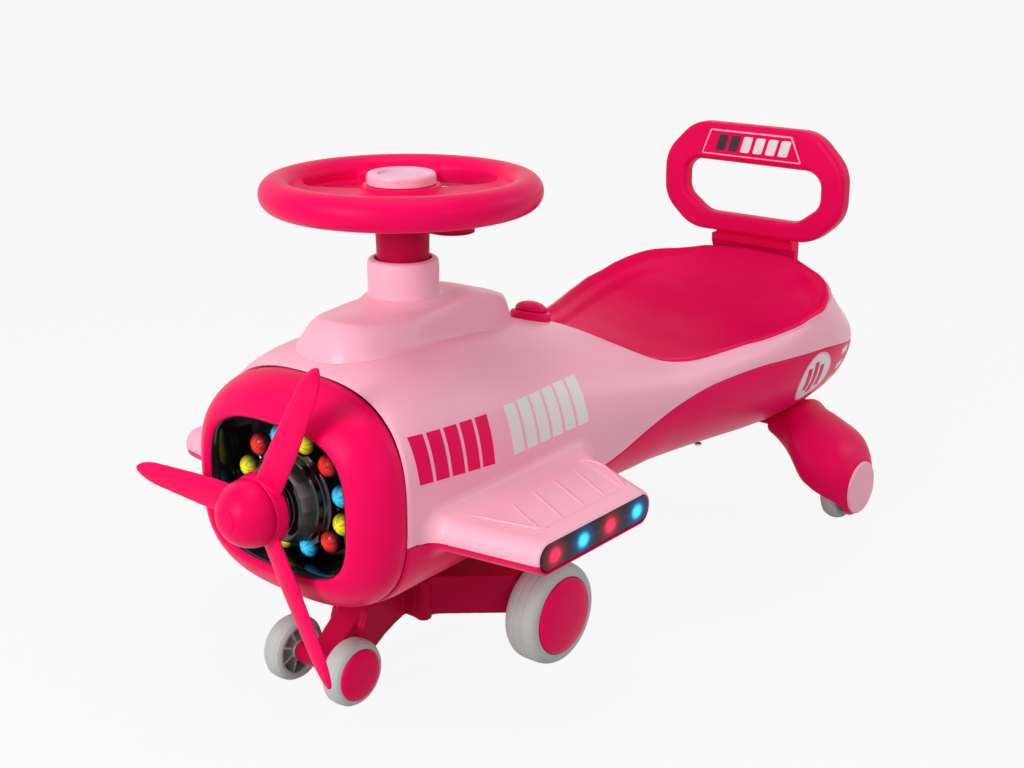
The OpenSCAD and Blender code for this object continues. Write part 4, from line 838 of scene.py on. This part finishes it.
def bladeRing(u):
    p = propeller
    r = p["root"] + (p["reach"] - p["root"]) * u
    away = max(0, (r - 23.5) / (p["reach"] - 23.5))
    tip = max(0, away - p["roundFrom"]) / (1 - p["roundFrom"])
    c = p["chord"] * (1 - 0.5 * max(0, away - p["wideTo"])) * sqrt(max(0.012, 1 - tip ** 2)) / 2
    (t0, t1), (b0, b1) = p["thick"], p["twist"]
    t = (t0 + (t1 - t0) * away) * (0.45 if u == 1 else 1)
    b = radians(b0 + (b1 - b0) * away)
    a = np.arange(28) * 2 * pi / 28
    x, y = c * np.cos(a), t * signedPower(np.sin(a), 1.15)
    return points(np.full(28, r), x * cos(b) - y * sin(b), p["middle"] + 2 * away + x * sin(b) + y * cos(b))


bladeStations = np.unique(np.concatenate([np.linspace(0, 0.8, 26), np.linspace(0.8, 0.96, 14),
                                          np.linspace(0.96, 1, 10)]))
blades = []
for i in range(3):
    turn = radians(60 + 120 * i)
    c, s = cos(turn), sin(turn)
    rings = np.array([bladeRing(u) for u in bladeStations])
    x, y, z = np.moveaxis(rings, -1, 0)
    blades.append(ringPiece("blade", onNose(points(x * c - y * s, x * s + y * c, z))))
drum = turned("propeller", softCorners(propeller["drum"], 0.8), onNose, 128)
carve(drum, *blades, how="UNION")
moulded(drum, 0.8, 6)
fit(drum, hotPink, "propeller", on="propeller")

bore, foot, height = propeller["bore"], propeller["domeFoot"], propeller["domeHeight"]
r = propeller["spinnerRadius"] - 2.8
dome = [(r * cos(a), foot + height * sin(a)) for a in np.radians(np.linspace(0, 67, 25))]
# the dome ends in a small raised cap
spinnerOutline = [(bore, foot - 1.3), (r - 1.2, foot - 1.3), (r - 0.9, foot - 0.8)] + dome + \
    [(r * 0.375, 92.4), (r * 0.36, 92.5), (r * 0.35, 93.4), (r * 0.3, 94.1), (r * 0.15, 94.9), (0, 95),
     (0, 73), (bore, 73)]
fit(turned("spinner", spinnerOutline, onNose, 128), hotPink, "spinner", on="propeller")
print("propeller made")


# ---- wings

wing = {
    # fore and aft edges at the root and at the tip
    "fore": (24, 38), "aft": (236, 190), "root": 113, "reach": 213, "radius": 14, "wall": 2.4,
    "level": 169, "tilt": 1.2, "pivot": 50, "topFillet": 13, "baseFillet": 9, "cut": degrees(asin(-4 / 14)),
    # the sunk panel: its front and rear lines, outer and inner edges, depth
    "panelFront": ((128, 54.5), (194, 69)), "panelRear": ((128, 206), (194, 177)), "panelOut": 194.5,
    "panelIn": 119, "panelDepth": 0.9,
}


def wingLevel(y):
    return wing["level"] + tan(radians(wing["tilt"])) * (y - wing["pivot"])


def panelSink(x, y):
    def past(line):
        (xa, ya), (xb, yb) = line
        return y - ya - (yb - ya) * (x - xa) / (xb - xa)
    inside = min(past(wing["panelFront"]), -past(wing["panelRear"]), wing["panelOut"] - x,
                 (x - wing["panelIn"]) / 5)
    u = min(1, max(0, inside / 2))
    return wing["panelDepth"] * u * u * (3 - 2 * u)


def wingRing(u, top):
    # one cut along the wing, from the leading edge over to the trailing edge
    w = wing
    ends = np.linspace(180 - w["cut"], 90, 20) if top else np.linspace(180 - w["cut"] + 2, 270, 20)
    flat = np.linspace(0, 1, 88 if top else 30)[1:-1]
    marks = [(radians(a), 0) for a in ends] + [(None, t) for t in flat] + \
        [(radians(180 - a), 1) for a in ends[::-1]]
    y0 = w["fore"][0] + (w["fore"][1] - w["fore"][0]) * u + w["radius"]
    y1 = w["aft"][0] + (w["aft"][1] - w["aft"][0]) * u - w["radius"]
    fillet = w["topFillet"] if top else w["baseFillet"]
    out = []
    for a, mark in marks:
        if a is None:
            centre, n = y0 + (y1 - y0) * mark, np.array([0, 1.0 if top else -1.1])
        else:
            centre = y1 if mark else y0
            deep = 1 + 0.1 * min(1, max(0, -0.3 - sin(a)) / 0.3)
            n = np.array([cos(a), deep * sin(a)])
        y, z = centre + w["radius"] * n[0], wingLevel(centre) + w["radius"] * n[1]
        away = np.array([n[0], max(n[1], 0) if top else min(n[1], 0)])
        d = u * (w["reach"] - w["root"])
        flare = fillet - sqrt(max(0, fillet ** 2 - (fillet - d) ** 2)) if d < fillet else 0
        yf, zf = y + away[0] * flare, z + away[1] * flare
        root = sideAt(yf, zf)
        x = root + (w["reach"] - root) * u
        if a is None and top and d > fillet * 0.6:
            zf -= panelSink(x, y)
        out.append((x - (0.3 if u == 0 else 0), yf + noseShift, zf))
    return out


wingStations = np.concatenate([[0, 0.002, 0.006, 0.012, 0.02, 0.03, 0.042, 0.056, 0.072, 0.09, 0.11, 0.13],
                               np.linspace(0.15, 0.95, 44),
                               [0.96, 0.97, 0.978, 0.985, 0.99, 0.994, 0.997, 1]])


def tipFall(p, turn):
    # the outer edge, softly rounded
    n = gridNormals(p) * turn
    d = wing["reach"] - p[..., 0]
    return p - n * np.interp(d, [0, 0.4, 1, 2, 3.5, 5.5], [2, 1.3, 0.75, 0.3, 0.07, 0])[..., None]


for label, isTop, finish, node in (("wingTop", True, palePink, "wing_top"),
                                   ("wingBase", False, hotPink, "wing_base")):
    p = np.array([wingRing(float(u), isTop) for u in wingStations])
    n = gridNormals(p)
    turn = np.sign(n[30, p.shape[1] // 2, 2]) * (1 if isTop else -1)
    left = skinPiece(label + "Left", tipFall(p, turn), wing["wall"], turn=turn, sharp=50)
    fitPair(left, label, finish, node)


# low ridges along the panel's front and rear, and ribs across it
ridges = {"width": 2.8, "height": 1.35, "ribWidth": 2.6, "ribHeight": 1.25,
          "front": [(131, 52.5), (150, 56.5), (175, 61.5), (188, 64.5), (194, 68), (194.6, 74)],
          "rear": [(127, 203), (131, 207), (140, 208.3), (148, 207.6), (165, 198.5), (180, 189), (190, 182),
                   (193, 178)],
          "ribs": [((137.5, 94), (192.2, 65.5)), ((135.1, 125.3), (193.1, 94.3)),
                   ((133.3, 155.7), (190.7, 126.1)), ((134.4, 184.6), (192.2, 152.8))]}


def bead(name, path, width, height):
    # a low ridge along a path on the wing, thin at both ends
    line = smoothRows([[x, y, wingLevel(y) + wing["radius"] - panelSink(x, y) - 0.1] for x, y in path], 6)
    a = np.linspace(0, 2 * pi, 16, endpoint=False)
    rings = []
    for k, q in enumerate(line):
        t = line[min(k + 1, len(line) - 1)] - line[max(k - 1, 0)]
        across = np.cross(t, [0, 0, 1])
        across /= np.linalg.norm(across)
        s = min(1, 0.25 + min(k, len(line) - 1 - k) / 4)
        rings.append([q + across * cos(v) * width * s / 2 + [0, 0, sin(v) * height * s] for v in a])
    for side, tag in bothSides:
        p = np.array(rings) * [side, 1, 1] + [0, noseShift, 0]
        fit(ringPiece(name + tag, p, sharp=80), palePink)


bead("wingRidgeFront", ridges["front"], ridges["width"], ridges["height"])
bead("wingRidgeRear", ridges["rear"], ridges["width"], ridges["height"])
for k, (a, b) in enumerate(np.array(ridges["ribs"])):
    bead("wingRib" + str(k), [a + (b - a) * t for t in (0, 0.3, 0.7, 1)], ridges["ribWidth"],
         ridges["ribHeight"])

# light strips in the wing tips
strip = {"radius": 11.1, "from": 52, "to": 176, "back": 209.1, "face": 212.8, "bulge": 0.5,
         "lampsAt": (58.8, 95.5, 132, 169.5), "glow": 6.2,
         "tones": [(tone(255, 30, 90), tone(225, 0, 45)), (tone(50, 235, 255), tone(0, 120, 225))]}


def stripPoint(s, v):
    # s runs round the capsule, v from its middle line to its edge
    y0, y1, r = strip["from"], strip["to"], strip["radius"]
    ends = pi * r
    flat = y1 - y0
    d = s * 2 * (ends + flat)
    if d < flat:
        y, dy, dz = y0 + d, 0, 1
    elif d < flat + ends:
        a = (d - flat) / r
        y, dy, dz = y1, sin(a), cos(a)
    elif d < 2 * flat + ends:
        y, dy, dz = y1 - (d - flat - ends), 0, -1
    else:
        a = (d - 2 * flat - ends) / r
        y, dy, dz = y0, -sin(a), -cos(a)
    return y + dy * r * v, wingLevel(y) + dz * r * v


# from the middle of the back, over the softened edge, to the middle of the face
stripProfile = [(strip["back"], v) for v in (0, 0.5, 0.995)] + \
    [(strip["face"] - 0.9, 1), (strip["face"] - 0.2, 0.975), (strip["face"], 0.93)] + \
    [(strip["face"] + strip["bulge"] * (1 - (v / 0.93) ** 2), v) for v in
     (0.86, 0.78, 0.7, 0.6, 0.5, 0.4, 0.3, 0.2, 0.1, 0)]
stripRows = []
for x, v in stripProfile:
    ring = [stripPoint(s, v) for s in np.arange(200) / 200]
    stripRows.append([(x, y + noseShift, z) for y, z in ring])


def stripShine(p):
    total = np.array([0.0, 0.0, 0.0, 1.0])
    if p.x > 211:
        for k, y in enumerate(strip["lampsAt"]):
            d = hypot((p.y - noseShift - y) / 1.15, p.z - wingLevel(y) + 0.4) / strip["glow"]
            core, halo = (np.array(c) for c in strip["tones"][k % 2])
            total[:3] += core[:3] * exp(-(d * 1.05) ** 4) + halo[:3] * exp(-(d * 0.72) ** 2) * 0.6
    return tuple(np.minimum(total, 1))


lensLeft = ringPiece("wingLensLeft", stripRows, sharp=50)
step = lensLeft.modifiers.new("fine", "SUBSURF")
step.levels = step.render_levels = 1
step.subdivision_type = "SIMPLE"
finalMesh(lensLeft)
paintPoints(lensLeft, stripShine)
fitPair(lensLeft, "wingLens", glowing("stripGlow", 0.2, 1.1, 0.2), "wing_lens")
print("wings made")


# ---- backrest

# the face runs across the hoop: share of the way out, share of the thickness
rest = {
    "y": 695, "z": 354.5, "thick": 21, "labelAt": 40,
    "out": [[78, 62], [116, 24], [116, -30], [80, -62], [-80, -62], [-116, -30], [-116, 24], [-78, 62]],
    "in": [[75, 18.5], [87.5, 8], [87.5, -20], [59, -41], [-59, -41], [-87.5, -20], [-87.5, 8], [-75, 18.5]],
    "face": [[0, 0.28], [0.1, 0.47], [0.2, 0.5], [0.8, 0.5], [0.93, 0.47], [1, 0.32], [1, -0.32],
             [0.93, -0.47], [0.8, -0.5], [0.2, -0.5], [0.1, -0.47], [0, -0.28]],
}
outLine, inLine = softCorners(rest["out"], 19, 12), softCorners(rest["in"], 10, 12)
faceLine = softCorners(rest["face"], 3, 3)
restRings = []
for a, b in zip(inLine, outLine):
    restRings.append([(a[0] + (b[0] - a[0]) * f[0], rest["y"] + noseShift - f[1] * rest["thick"],
                       rest["z"] + a[1] + (b[1] - a[1]) * f[0]) for f in faceLine])
fit(ringPiece("backrestLoop", restRings, True, 40), hotPink, "backrest_loop")


def restPlate(name, outline, proud=0.5):
    ring = softCorners(outline, 2, 4)
    front = rest["y"] + noseShift - rest["thick"] / 2
    high = rest["labelAt"]
    rings = [[(x * k, front - d, rest["z"] + high + (z - high) * k) for x, z in ring]
             for d, k in ((-0.4, 1), (proud - 0.15, 1), (proud, 0.99))]
    return ringPiece(name, rings, sharp=50)


def insetTray(g):
    # the label's outline, drawn in by g
    h = g * 0.8
    return [(-65 + g, 26 + h), (-53.5 + h, 55 - g), (51.5 - h, 55 - g), (64 - g, 26 + h)]


labelFrame = restPlate("labelFrame", insetTray(0), 0.9)
carve(labelFrame, restPlate("labelInside", insetTray(1.7), 3))
labelFrame.data.set_sharp_from_angle(angle=radians(40))
fit(labelFrame, palePink, "backrest_label")
for k in range(6):
    x = -47 + 16.2 * k
    plate = restPlate("labelBar" + str(k), [(x, 31.5), (x + 5.5, 49.5), (x + 17, 49.5), (x + 11.5, 31.5)])
    fit(plate, charcoal if k < 2 else softWhite)

softenedCopy("backrest_bracket", "backrestFoot", 1, hotPink)
print("backrest made")


# ---- rear legs

leg = {
    "x": 156, "y": 311.5, "z": 37, "pocketRadius": 41, "cheekAt": 16.4, "cheekRadius": 9, "capAt": 22.3,
    # outwards from the wheel, middle along, middle height, half sizes
    "rows": [[-71.4, -4, 104, 42, 15], [-60, -4, 101, 43, 21], [-49, -5, 97, 44, 28], [-38, -8, 89, 46, 30],
             [-27, -6, 77, 50, 36.5], [-16, -3, 65, 52, 42], [-5, -1, 57, 52, 44], [6, 0, 51, 47.5, 43],
             [15, 0, 45, 40.5, 38], [20, 0, 41, 33.5, 32.5], [22, 0, 40, 30.5, 30]],
    # what is cut away below: from the wheel outwards and height
    "under": [(-90, -1), (18.5, -1), (18.5, 26), (10, 33), (-13, 47), (-22, 52), (-30, 59), (-38, 68),
              (-44, 77), (-60, 82), (-90, 85)],
    "cap": [(0, 0), (29.4, 0), (29.4, 1.6), (28.2, 2.8), (0, 2.8)], "capHeight": 39.5,
}


def bellyAt(x, y):
    s = section(y)
    v = min(abs(x) / s[0], 0.999)
    return s[1] - (s[1] - s[3]) * (1 - v ** s[5]) ** (1 / s[5])


def legRing(row):
    # one cut across the leg, kept clear of the body's belly
    x = leg["x"] + row[0]
    out = []
    for a in np.arange(96) * 2 * pi / 96:
        y = row[1] + row[3] * float(signedPower(cos(a), 0.85))
        z = row[2] + row[4] * float(signedPower(sin(a), 0.85))
        station = y + leg["y"] - noseShift
        if x < section(station)[0] - 3:
            z = min(z, bellyAt(x, station) - 0.6)
        out.append((x, y + leg["y"], z))
    return out


def prism(name, outline, low, high, across):
    # a straight bar with the given outline; across turns its points into places
    return ringPiece(name, [[across(p, d) for p in outline] for d in (low, high)])


def rod(name, radius, length, where, steps):
    return turned(name, [(0, 0), (radius, 0), (radius, length), (0, length)], where, steps)


rearLeg = ringPiece("rearLegLeft", [legRing(r) for r in smoothRows(leg["rows"], 5)])
x0, y0, z0 = leg["x"], leg["y"], leg["z"]
under = [(x0 + x, z) for x, z in leg["under"]]
carve(rearLeg, prism("under", under, y0 - 70, y0 + 70, lambda p, d: (p[0], d, p[1])),
      rod("pocket", leg["pocketRadius"], 21, onWheel(1, x0 - 10.4, y0, z0), 96))
cheekStart, cheekEnd = x0 - leg["cheekAt"], x0 - leg["cheekAt"] + 6
post = [(y0 - 9, z0), (y0 + 9, z0), (y0 + 9, z0 + 34), (y0 - 9, z0 + 34)]
carve(rearLeg, rod("cheek", leg["cheekRadius"], 6, onWheel(1, cheekStart, y0, z0), 64),
      prism("post", post, cheekStart, cheekEnd, lambda p, d: (d, p[0], p[1])), how="UNION")
moulded(rearLeg, 1.1)
fitPair(rearLeg, "rearLeg", hotPink, "rear_leg")
capLine = softCorners(leg["cap"], 0.5, 4, False)
legCaps = joined([turned("cap", capLine, onWheel(side, x0 + leg["capAt"], y0, leg["capHeight"]))
                  for side in (1, -1)], "legCaps")
fit(legCaps, palePink, "leg_caps")
print("rear legs made")


# ---- horn button

horn = {
    "y": 290, "radius": 15.2, "foot": 7.4, "shoulder": 9.2, "dome": 7.4,
    # radius, height, and how far the point follows the body's top
    "collar": [(20.5, 0, 1), (19.2, 5.6, 0), (17.6, 7, 0), (15.6, 7, 0), (15.6, 3.6, 0), (3, 3.6, 0),
               (3, 0.5, 0), (15, 0, 1)],
}
hornTop = float(topAt(section(horn["y"]), 0))
lean = atan(float(topAt(section(horn["y"] - 8), 0) - topAt(section(horn["y"] + 8), 0)) / 16)


def onBack(p):
    # square to the slope of the body's top
    c, s = cos(lean), sin(lean)
    x, y, z = np.moveaxis(p, -1, 0)
    return points(x, y * c + z * s + horn["y"] + noseShift, z * c - y * s + hornTop)


r, foot, shoulder = horn["radius"], horn["foot"], horn["shoulder"]
button = softCorners([(0, foot), (r, foot), (r, shoulder)], 0.5, 4, False) + \
    [(r * cos(a), shoulder + horn["dome"] * sin(a)) for a in np.linspace(0.05, pi / 2, 20)]
fit(turned("hornButton", button, onBack), hotPink, "horn_button", on="horn")
collarLine = softCorners(horn["collar"], 0.9)


def collarRing(a):
    # the foot of the collar follows the top of the body
    rows = []
    for r, z, share in collarLine:
        up = float(topAt(section(horn["y"] + r * sin(a) * cos(lean)), r * cos(a))) - hornTop
        foot = (up + r * sin(a) * sin(lean)) / cos(lean) + 0.3
        rows.append((r * cos(a), r * sin(a), z + share * foot))
    return rows


collarRings = [collarRing(a) for a in np.linspace(0, 2 * pi, 96, endpoint=False)]
fit(ringPiece("hornCollar", onBack(np.array(collarRings)), True), hotPink, "button_base")


# ---- steering wheel

steering = {
    "ring": 106.1, "tube": 14.4, "tubeLow": -8.9, "tubeHigh": 7.6,
    "openingFrom": 43, "openingTo": 93.1, "openingRadius": 9, "hollowFloor": -6.4,
    # outlines of radius and height, from the middle of the rim's level
    "web": [(8.1, 6), (8.1, -17.7), (33, -17.7), (36, -15), (37, -10.3), (90, -9.3)],
    "webTop": [(92.6, 4.2), (90, 1.8), (84, 0.2), (70, -0.4), (40, -1.5), (34, 2), (33, 6)],
    "hubRing": [(0, 6.3), (29.5, 6.3), (29.5, 13.2), (28.9, 15), (27.4, 16), (25.2, 16.4), (22, 16.4),
                (20.4, 15.6), (20, 14), (20, 10.5), (0, 10.5)],
    "hubButton": [(0, 12.2), (19.6, 12.2), (19.6, 13.5), (18.6, 14.1), (15.5, 13.6), (8, 13.2), (0, 13.1)],
    # this one's heights are from the floor
    "sleeve": [(8.1, 354), (21.6, 354), (22.2, 354.8), (23.7, 406), (8.1, 406)],
}


def openingAt(a, floor=-14):
    # a soft-cornered opening between two spokes, right through unless floor is higher
    f, w = steering["openingFrom"], steering["openingTo"]
    outline = [(r * cos(radians(a + q)), r * sin(radians(a + q)))
               for r, q in ((f, -13), (w, -24), (w, -12), (w, 0), (w, 12), (w, 24), (f, 13))]
    return prism("opening", softCorners(outline, steering["openingRadius"], 8), floor, 10,
                 lambda p, d: (p[0], p[1] + axisY, d + wheelHeight))


c, t = steering["ring"], steering["tube"]
low, high = asin(steering["tubeLow"] / t), asin(steering["tubeHigh"] / t)
tube = [(c + t * cos(a), t * sin(a)) for a in np.linspace(-pi - low, pi - high, 72)]
rimAndWeb = (softCorners(steering["web"], 1.5, 4, False) + tube
             + softCorners(steering["webTop"], 2.5, 5, False))
onRim = onShaft(wheelHeight)
steeringWheel = turned("steeringWheel", rimAndWeb, onRim, 256)
carve(steeringWheel, openingAt(90), openingAt(270), openingAt(0, steering["hollowFloor"]),
      openingAt(180, steering["hollowFloor"]))
moulded(steeringWheel, 1.2, 7)
fit(steeringWheel, hotPink, "steering_wheel", on="steering")
roundPiece("hubRing", steering["hubRing"], 1.2, onRim, 128, palePink, "hub_ring", "steering")
roundPiece("hubButton", steering["hubButton"], 0.8, onRim, 128, lilacPink, "hub_button", "hub_button")
softenedCopy("wheel_box", "cellHousings", 0.8, deepPink, "steering")
sleeve = turned("columnSleeve", softCorners(steering["sleeve"], 1), onShaft(0))
fit(sleeve, deepPink, "column_sleeve", on="steering")
softenedCopy("steering_frame", "steeringFrame", 1.1, deepPink, "steering")
print("steering made")


# ---- wheels

# across the wheel: radius and distance from its middle, outwards
wheel = {
    "bigAt": (115, axisY + 60, 47), "smallAt": (36.5, axisY - 112, 29.5),
    "bigTyre": [(36, -17), (40.6, -17), (43.8, -15.2), (46.2, -11.4), (47, -7), (47, -5), (46.1, -4.2),
                (47, -3.4), (47, 3.4), (46.1, 4.2), (47, 5), (47, 7), (46.2, 11.4), (43.8, 15.2), (40.6, 17),
                (36.2, 17), (36, 16)],
    "bigCap": [(0, 12.3), (35.5, 12.3), (35.5, 17.4), (34.7, 18.6), (31.2, 20.2), (24.9, 21.7), (16, 22.8),
               (7.1, 23.3), (0, 23.4)],
    "smallCap": [(0, 8.3), (22.8, 8.3), (22.8, 10.6), (22, 11.6), (19.4, 12.8), (14.1, 13.8), (6.8, 14.3),
                 (0, 14.4)],
}
for side, tag in ((1, "left"), (-1, "right")):
    big, small = onWheel(side, *wheel["bigAt"]), onWheel(side, *wheel["smallAt"])
    tyre = turned("bigTyre_" + tag, softCorners(wheel["bigTyre"], 1.6), big, 144, 50)
    fit(tyre, tyreGrey, "big_tyre_" + tag, on="big_wheel_" + tag)
    roundPiece("bigCap_" + tag, wheel["bigCap"], 1.4, big, 128, hotPink, "big_cap_" + tag, "big_wheel_" + tag)
    roundPiece("smallCap_" + tag, wheel["smallCap"], 1.2, small, 96, hotPink, "small_cap_" + tag,
               "small_wheel_" + tag)
print("wheels made")


# ---- finishes of the parts that stay as they are

finishedParts = [
    (glossBlack, "firewall engine_cylinders column_bushes"),
    (charcoal, "wing_lamps_blue"), (deepPink, "wing_lamps_red box_doors"), (hotPink, "rear_carriage"),
    (brightSteel, "rear_pins body_screws battery_cells steering_shaft shaft_nut big_axle small_axle"),
    (brightSteel, "propeller_shaft"),
    (tyreGrey, "big_core_left big_core_right small_wheel_left small_wheel_right"),
    (tyreGrey, "rear_wheel_left rear_wheel_right"),
]
for finish, names in finishedParts:
    for name in names.split():
        slots = nodes[name].data.materials
        slots.clear()
        slots.append(finish)
print("parts finished:", sum(len(names.split()) for finish, names in finishedParts))


# ---- floor, lamps and camera

studio = {"floorSize": 40, "world": 0.38, "floorShow": 0.91, "floorTone": 0.6, "floorRough": 0.9,
          # each lamp: place, size, power; all of them look at lampsTo
          "lamps": [("keyLamp", (0.0, -2.1, 1.0), 0.7, 28), ("topLamp", (0.1, -0.3, 2.2), 1.2, 11),
                    ("sideLamp", (2.1, -0.5, 0.9), 0.8, 4), ("backLamp", (1.5, 1.6, 1.1), 0.9, 8)],
          "lampsTo": (0, -0.05, 0.2)}
view = {"lens": 54.21, "sensor": 36, "place": (0.8956, -1.1577, 0.66), "down": 17.5, "round": 39.6,
        "near": 0.05, "far": 40}
white = (1, 1, 1, 1)


def seenWhite(tree, surface, whiteNode, share, output):
    # the surface shows as plain white to the camera, in reflections and through glass
    link = tree.links.new
    path = tree.nodes.new("ShaderNodeLightPath")
    seen = path.outputs["Is Camera Ray"]
    for other in ("Is Glossy Ray", "Is Transmission Ray"):
        most = tree.nodes.new("ShaderNodeMath")
        most.operation = "MAXIMUM"
        link(seen, most.inputs[0])
        link(path.outputs[other], most.inputs[1])
        seen = most.outputs[0]
    part = tree.nodes.new("ShaderNodeMath")
    part.operation = "MULTIPLY"
    part.inputs[1].default_value = share
    link(seen, part.inputs[0])
    mix, plain = tree.nodes.new("ShaderNodeMixShader"), tree.nodes.new(whiteNode)
    setSockets(plain, {"Color": white})
    link(part.outputs[0], mix.inputs[0])
    link(surface, mix.inputs[1])
    link(plain.outputs[0], mix.inputs[2])
    link(mix.outputs[0], tree.nodes[output].inputs["Surface"])


h = studio["floorSize"] / 2
floorMesh = bpy.data.meshes.new("floor")
floorMesh.from_pydata([(-h, -h, 0), (h, -h, 0), (h, h, 0), (-h, h, 0)], [], [(0, 1, 2, 3)])
placed("floor", floorMesh)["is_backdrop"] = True
paper, t, shader = newFinish("paper")
setSockets(shader, {"Base Color": (*[studio["floorTone"]] * 3, 1), "Roughness": studio["floorRough"]})
seenWhite(t, shader.outputs[0], "ShaderNodeEmission", studio["floorShow"], "Material Output")
floorMesh.materials.append(paper)

world = bpy.data.worlds.new("studio")
world.use_nodes = True
t = world.node_tree
setSockets(t.nodes["Background"], {"Strength": studio["world"], "Color": white})
seenWhite(t, t.nodes["Background"].outputs[0], "ShaderNodeBackground", 1, "World Output")
bpy.context.scene.world = world

for name, place, size, power in studio["lamps"]:
    lamp = bpy.data.lights.new(name, "AREA")
    lamp.shape, lamp.size, lamp.energy = "SQUARE", size, power
    holder = placed(name, lamp)
    holder.location = place
    holder.rotation_euler = (Vector(studio["lampsTo"]) - Vector(place)).to_track_quat("-Z", "Y").to_euler()

camera = bpy.data.cameras.new("camera")
camera.sensor_width, camera.lens = view["sensor"], view["lens"]
camera.clip_start, camera.clip_end = view["near"], view["far"]
holder = placed("camera", camera)
holder.location = view["place"]
holder.rotation_euler = (radians(90 - view["down"]), 0, radians(view["round"]))
bpy.context.scene.camera = holder
bpy.context.scene.view_settings.view_transform = "Standard"
print("studio set")

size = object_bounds()
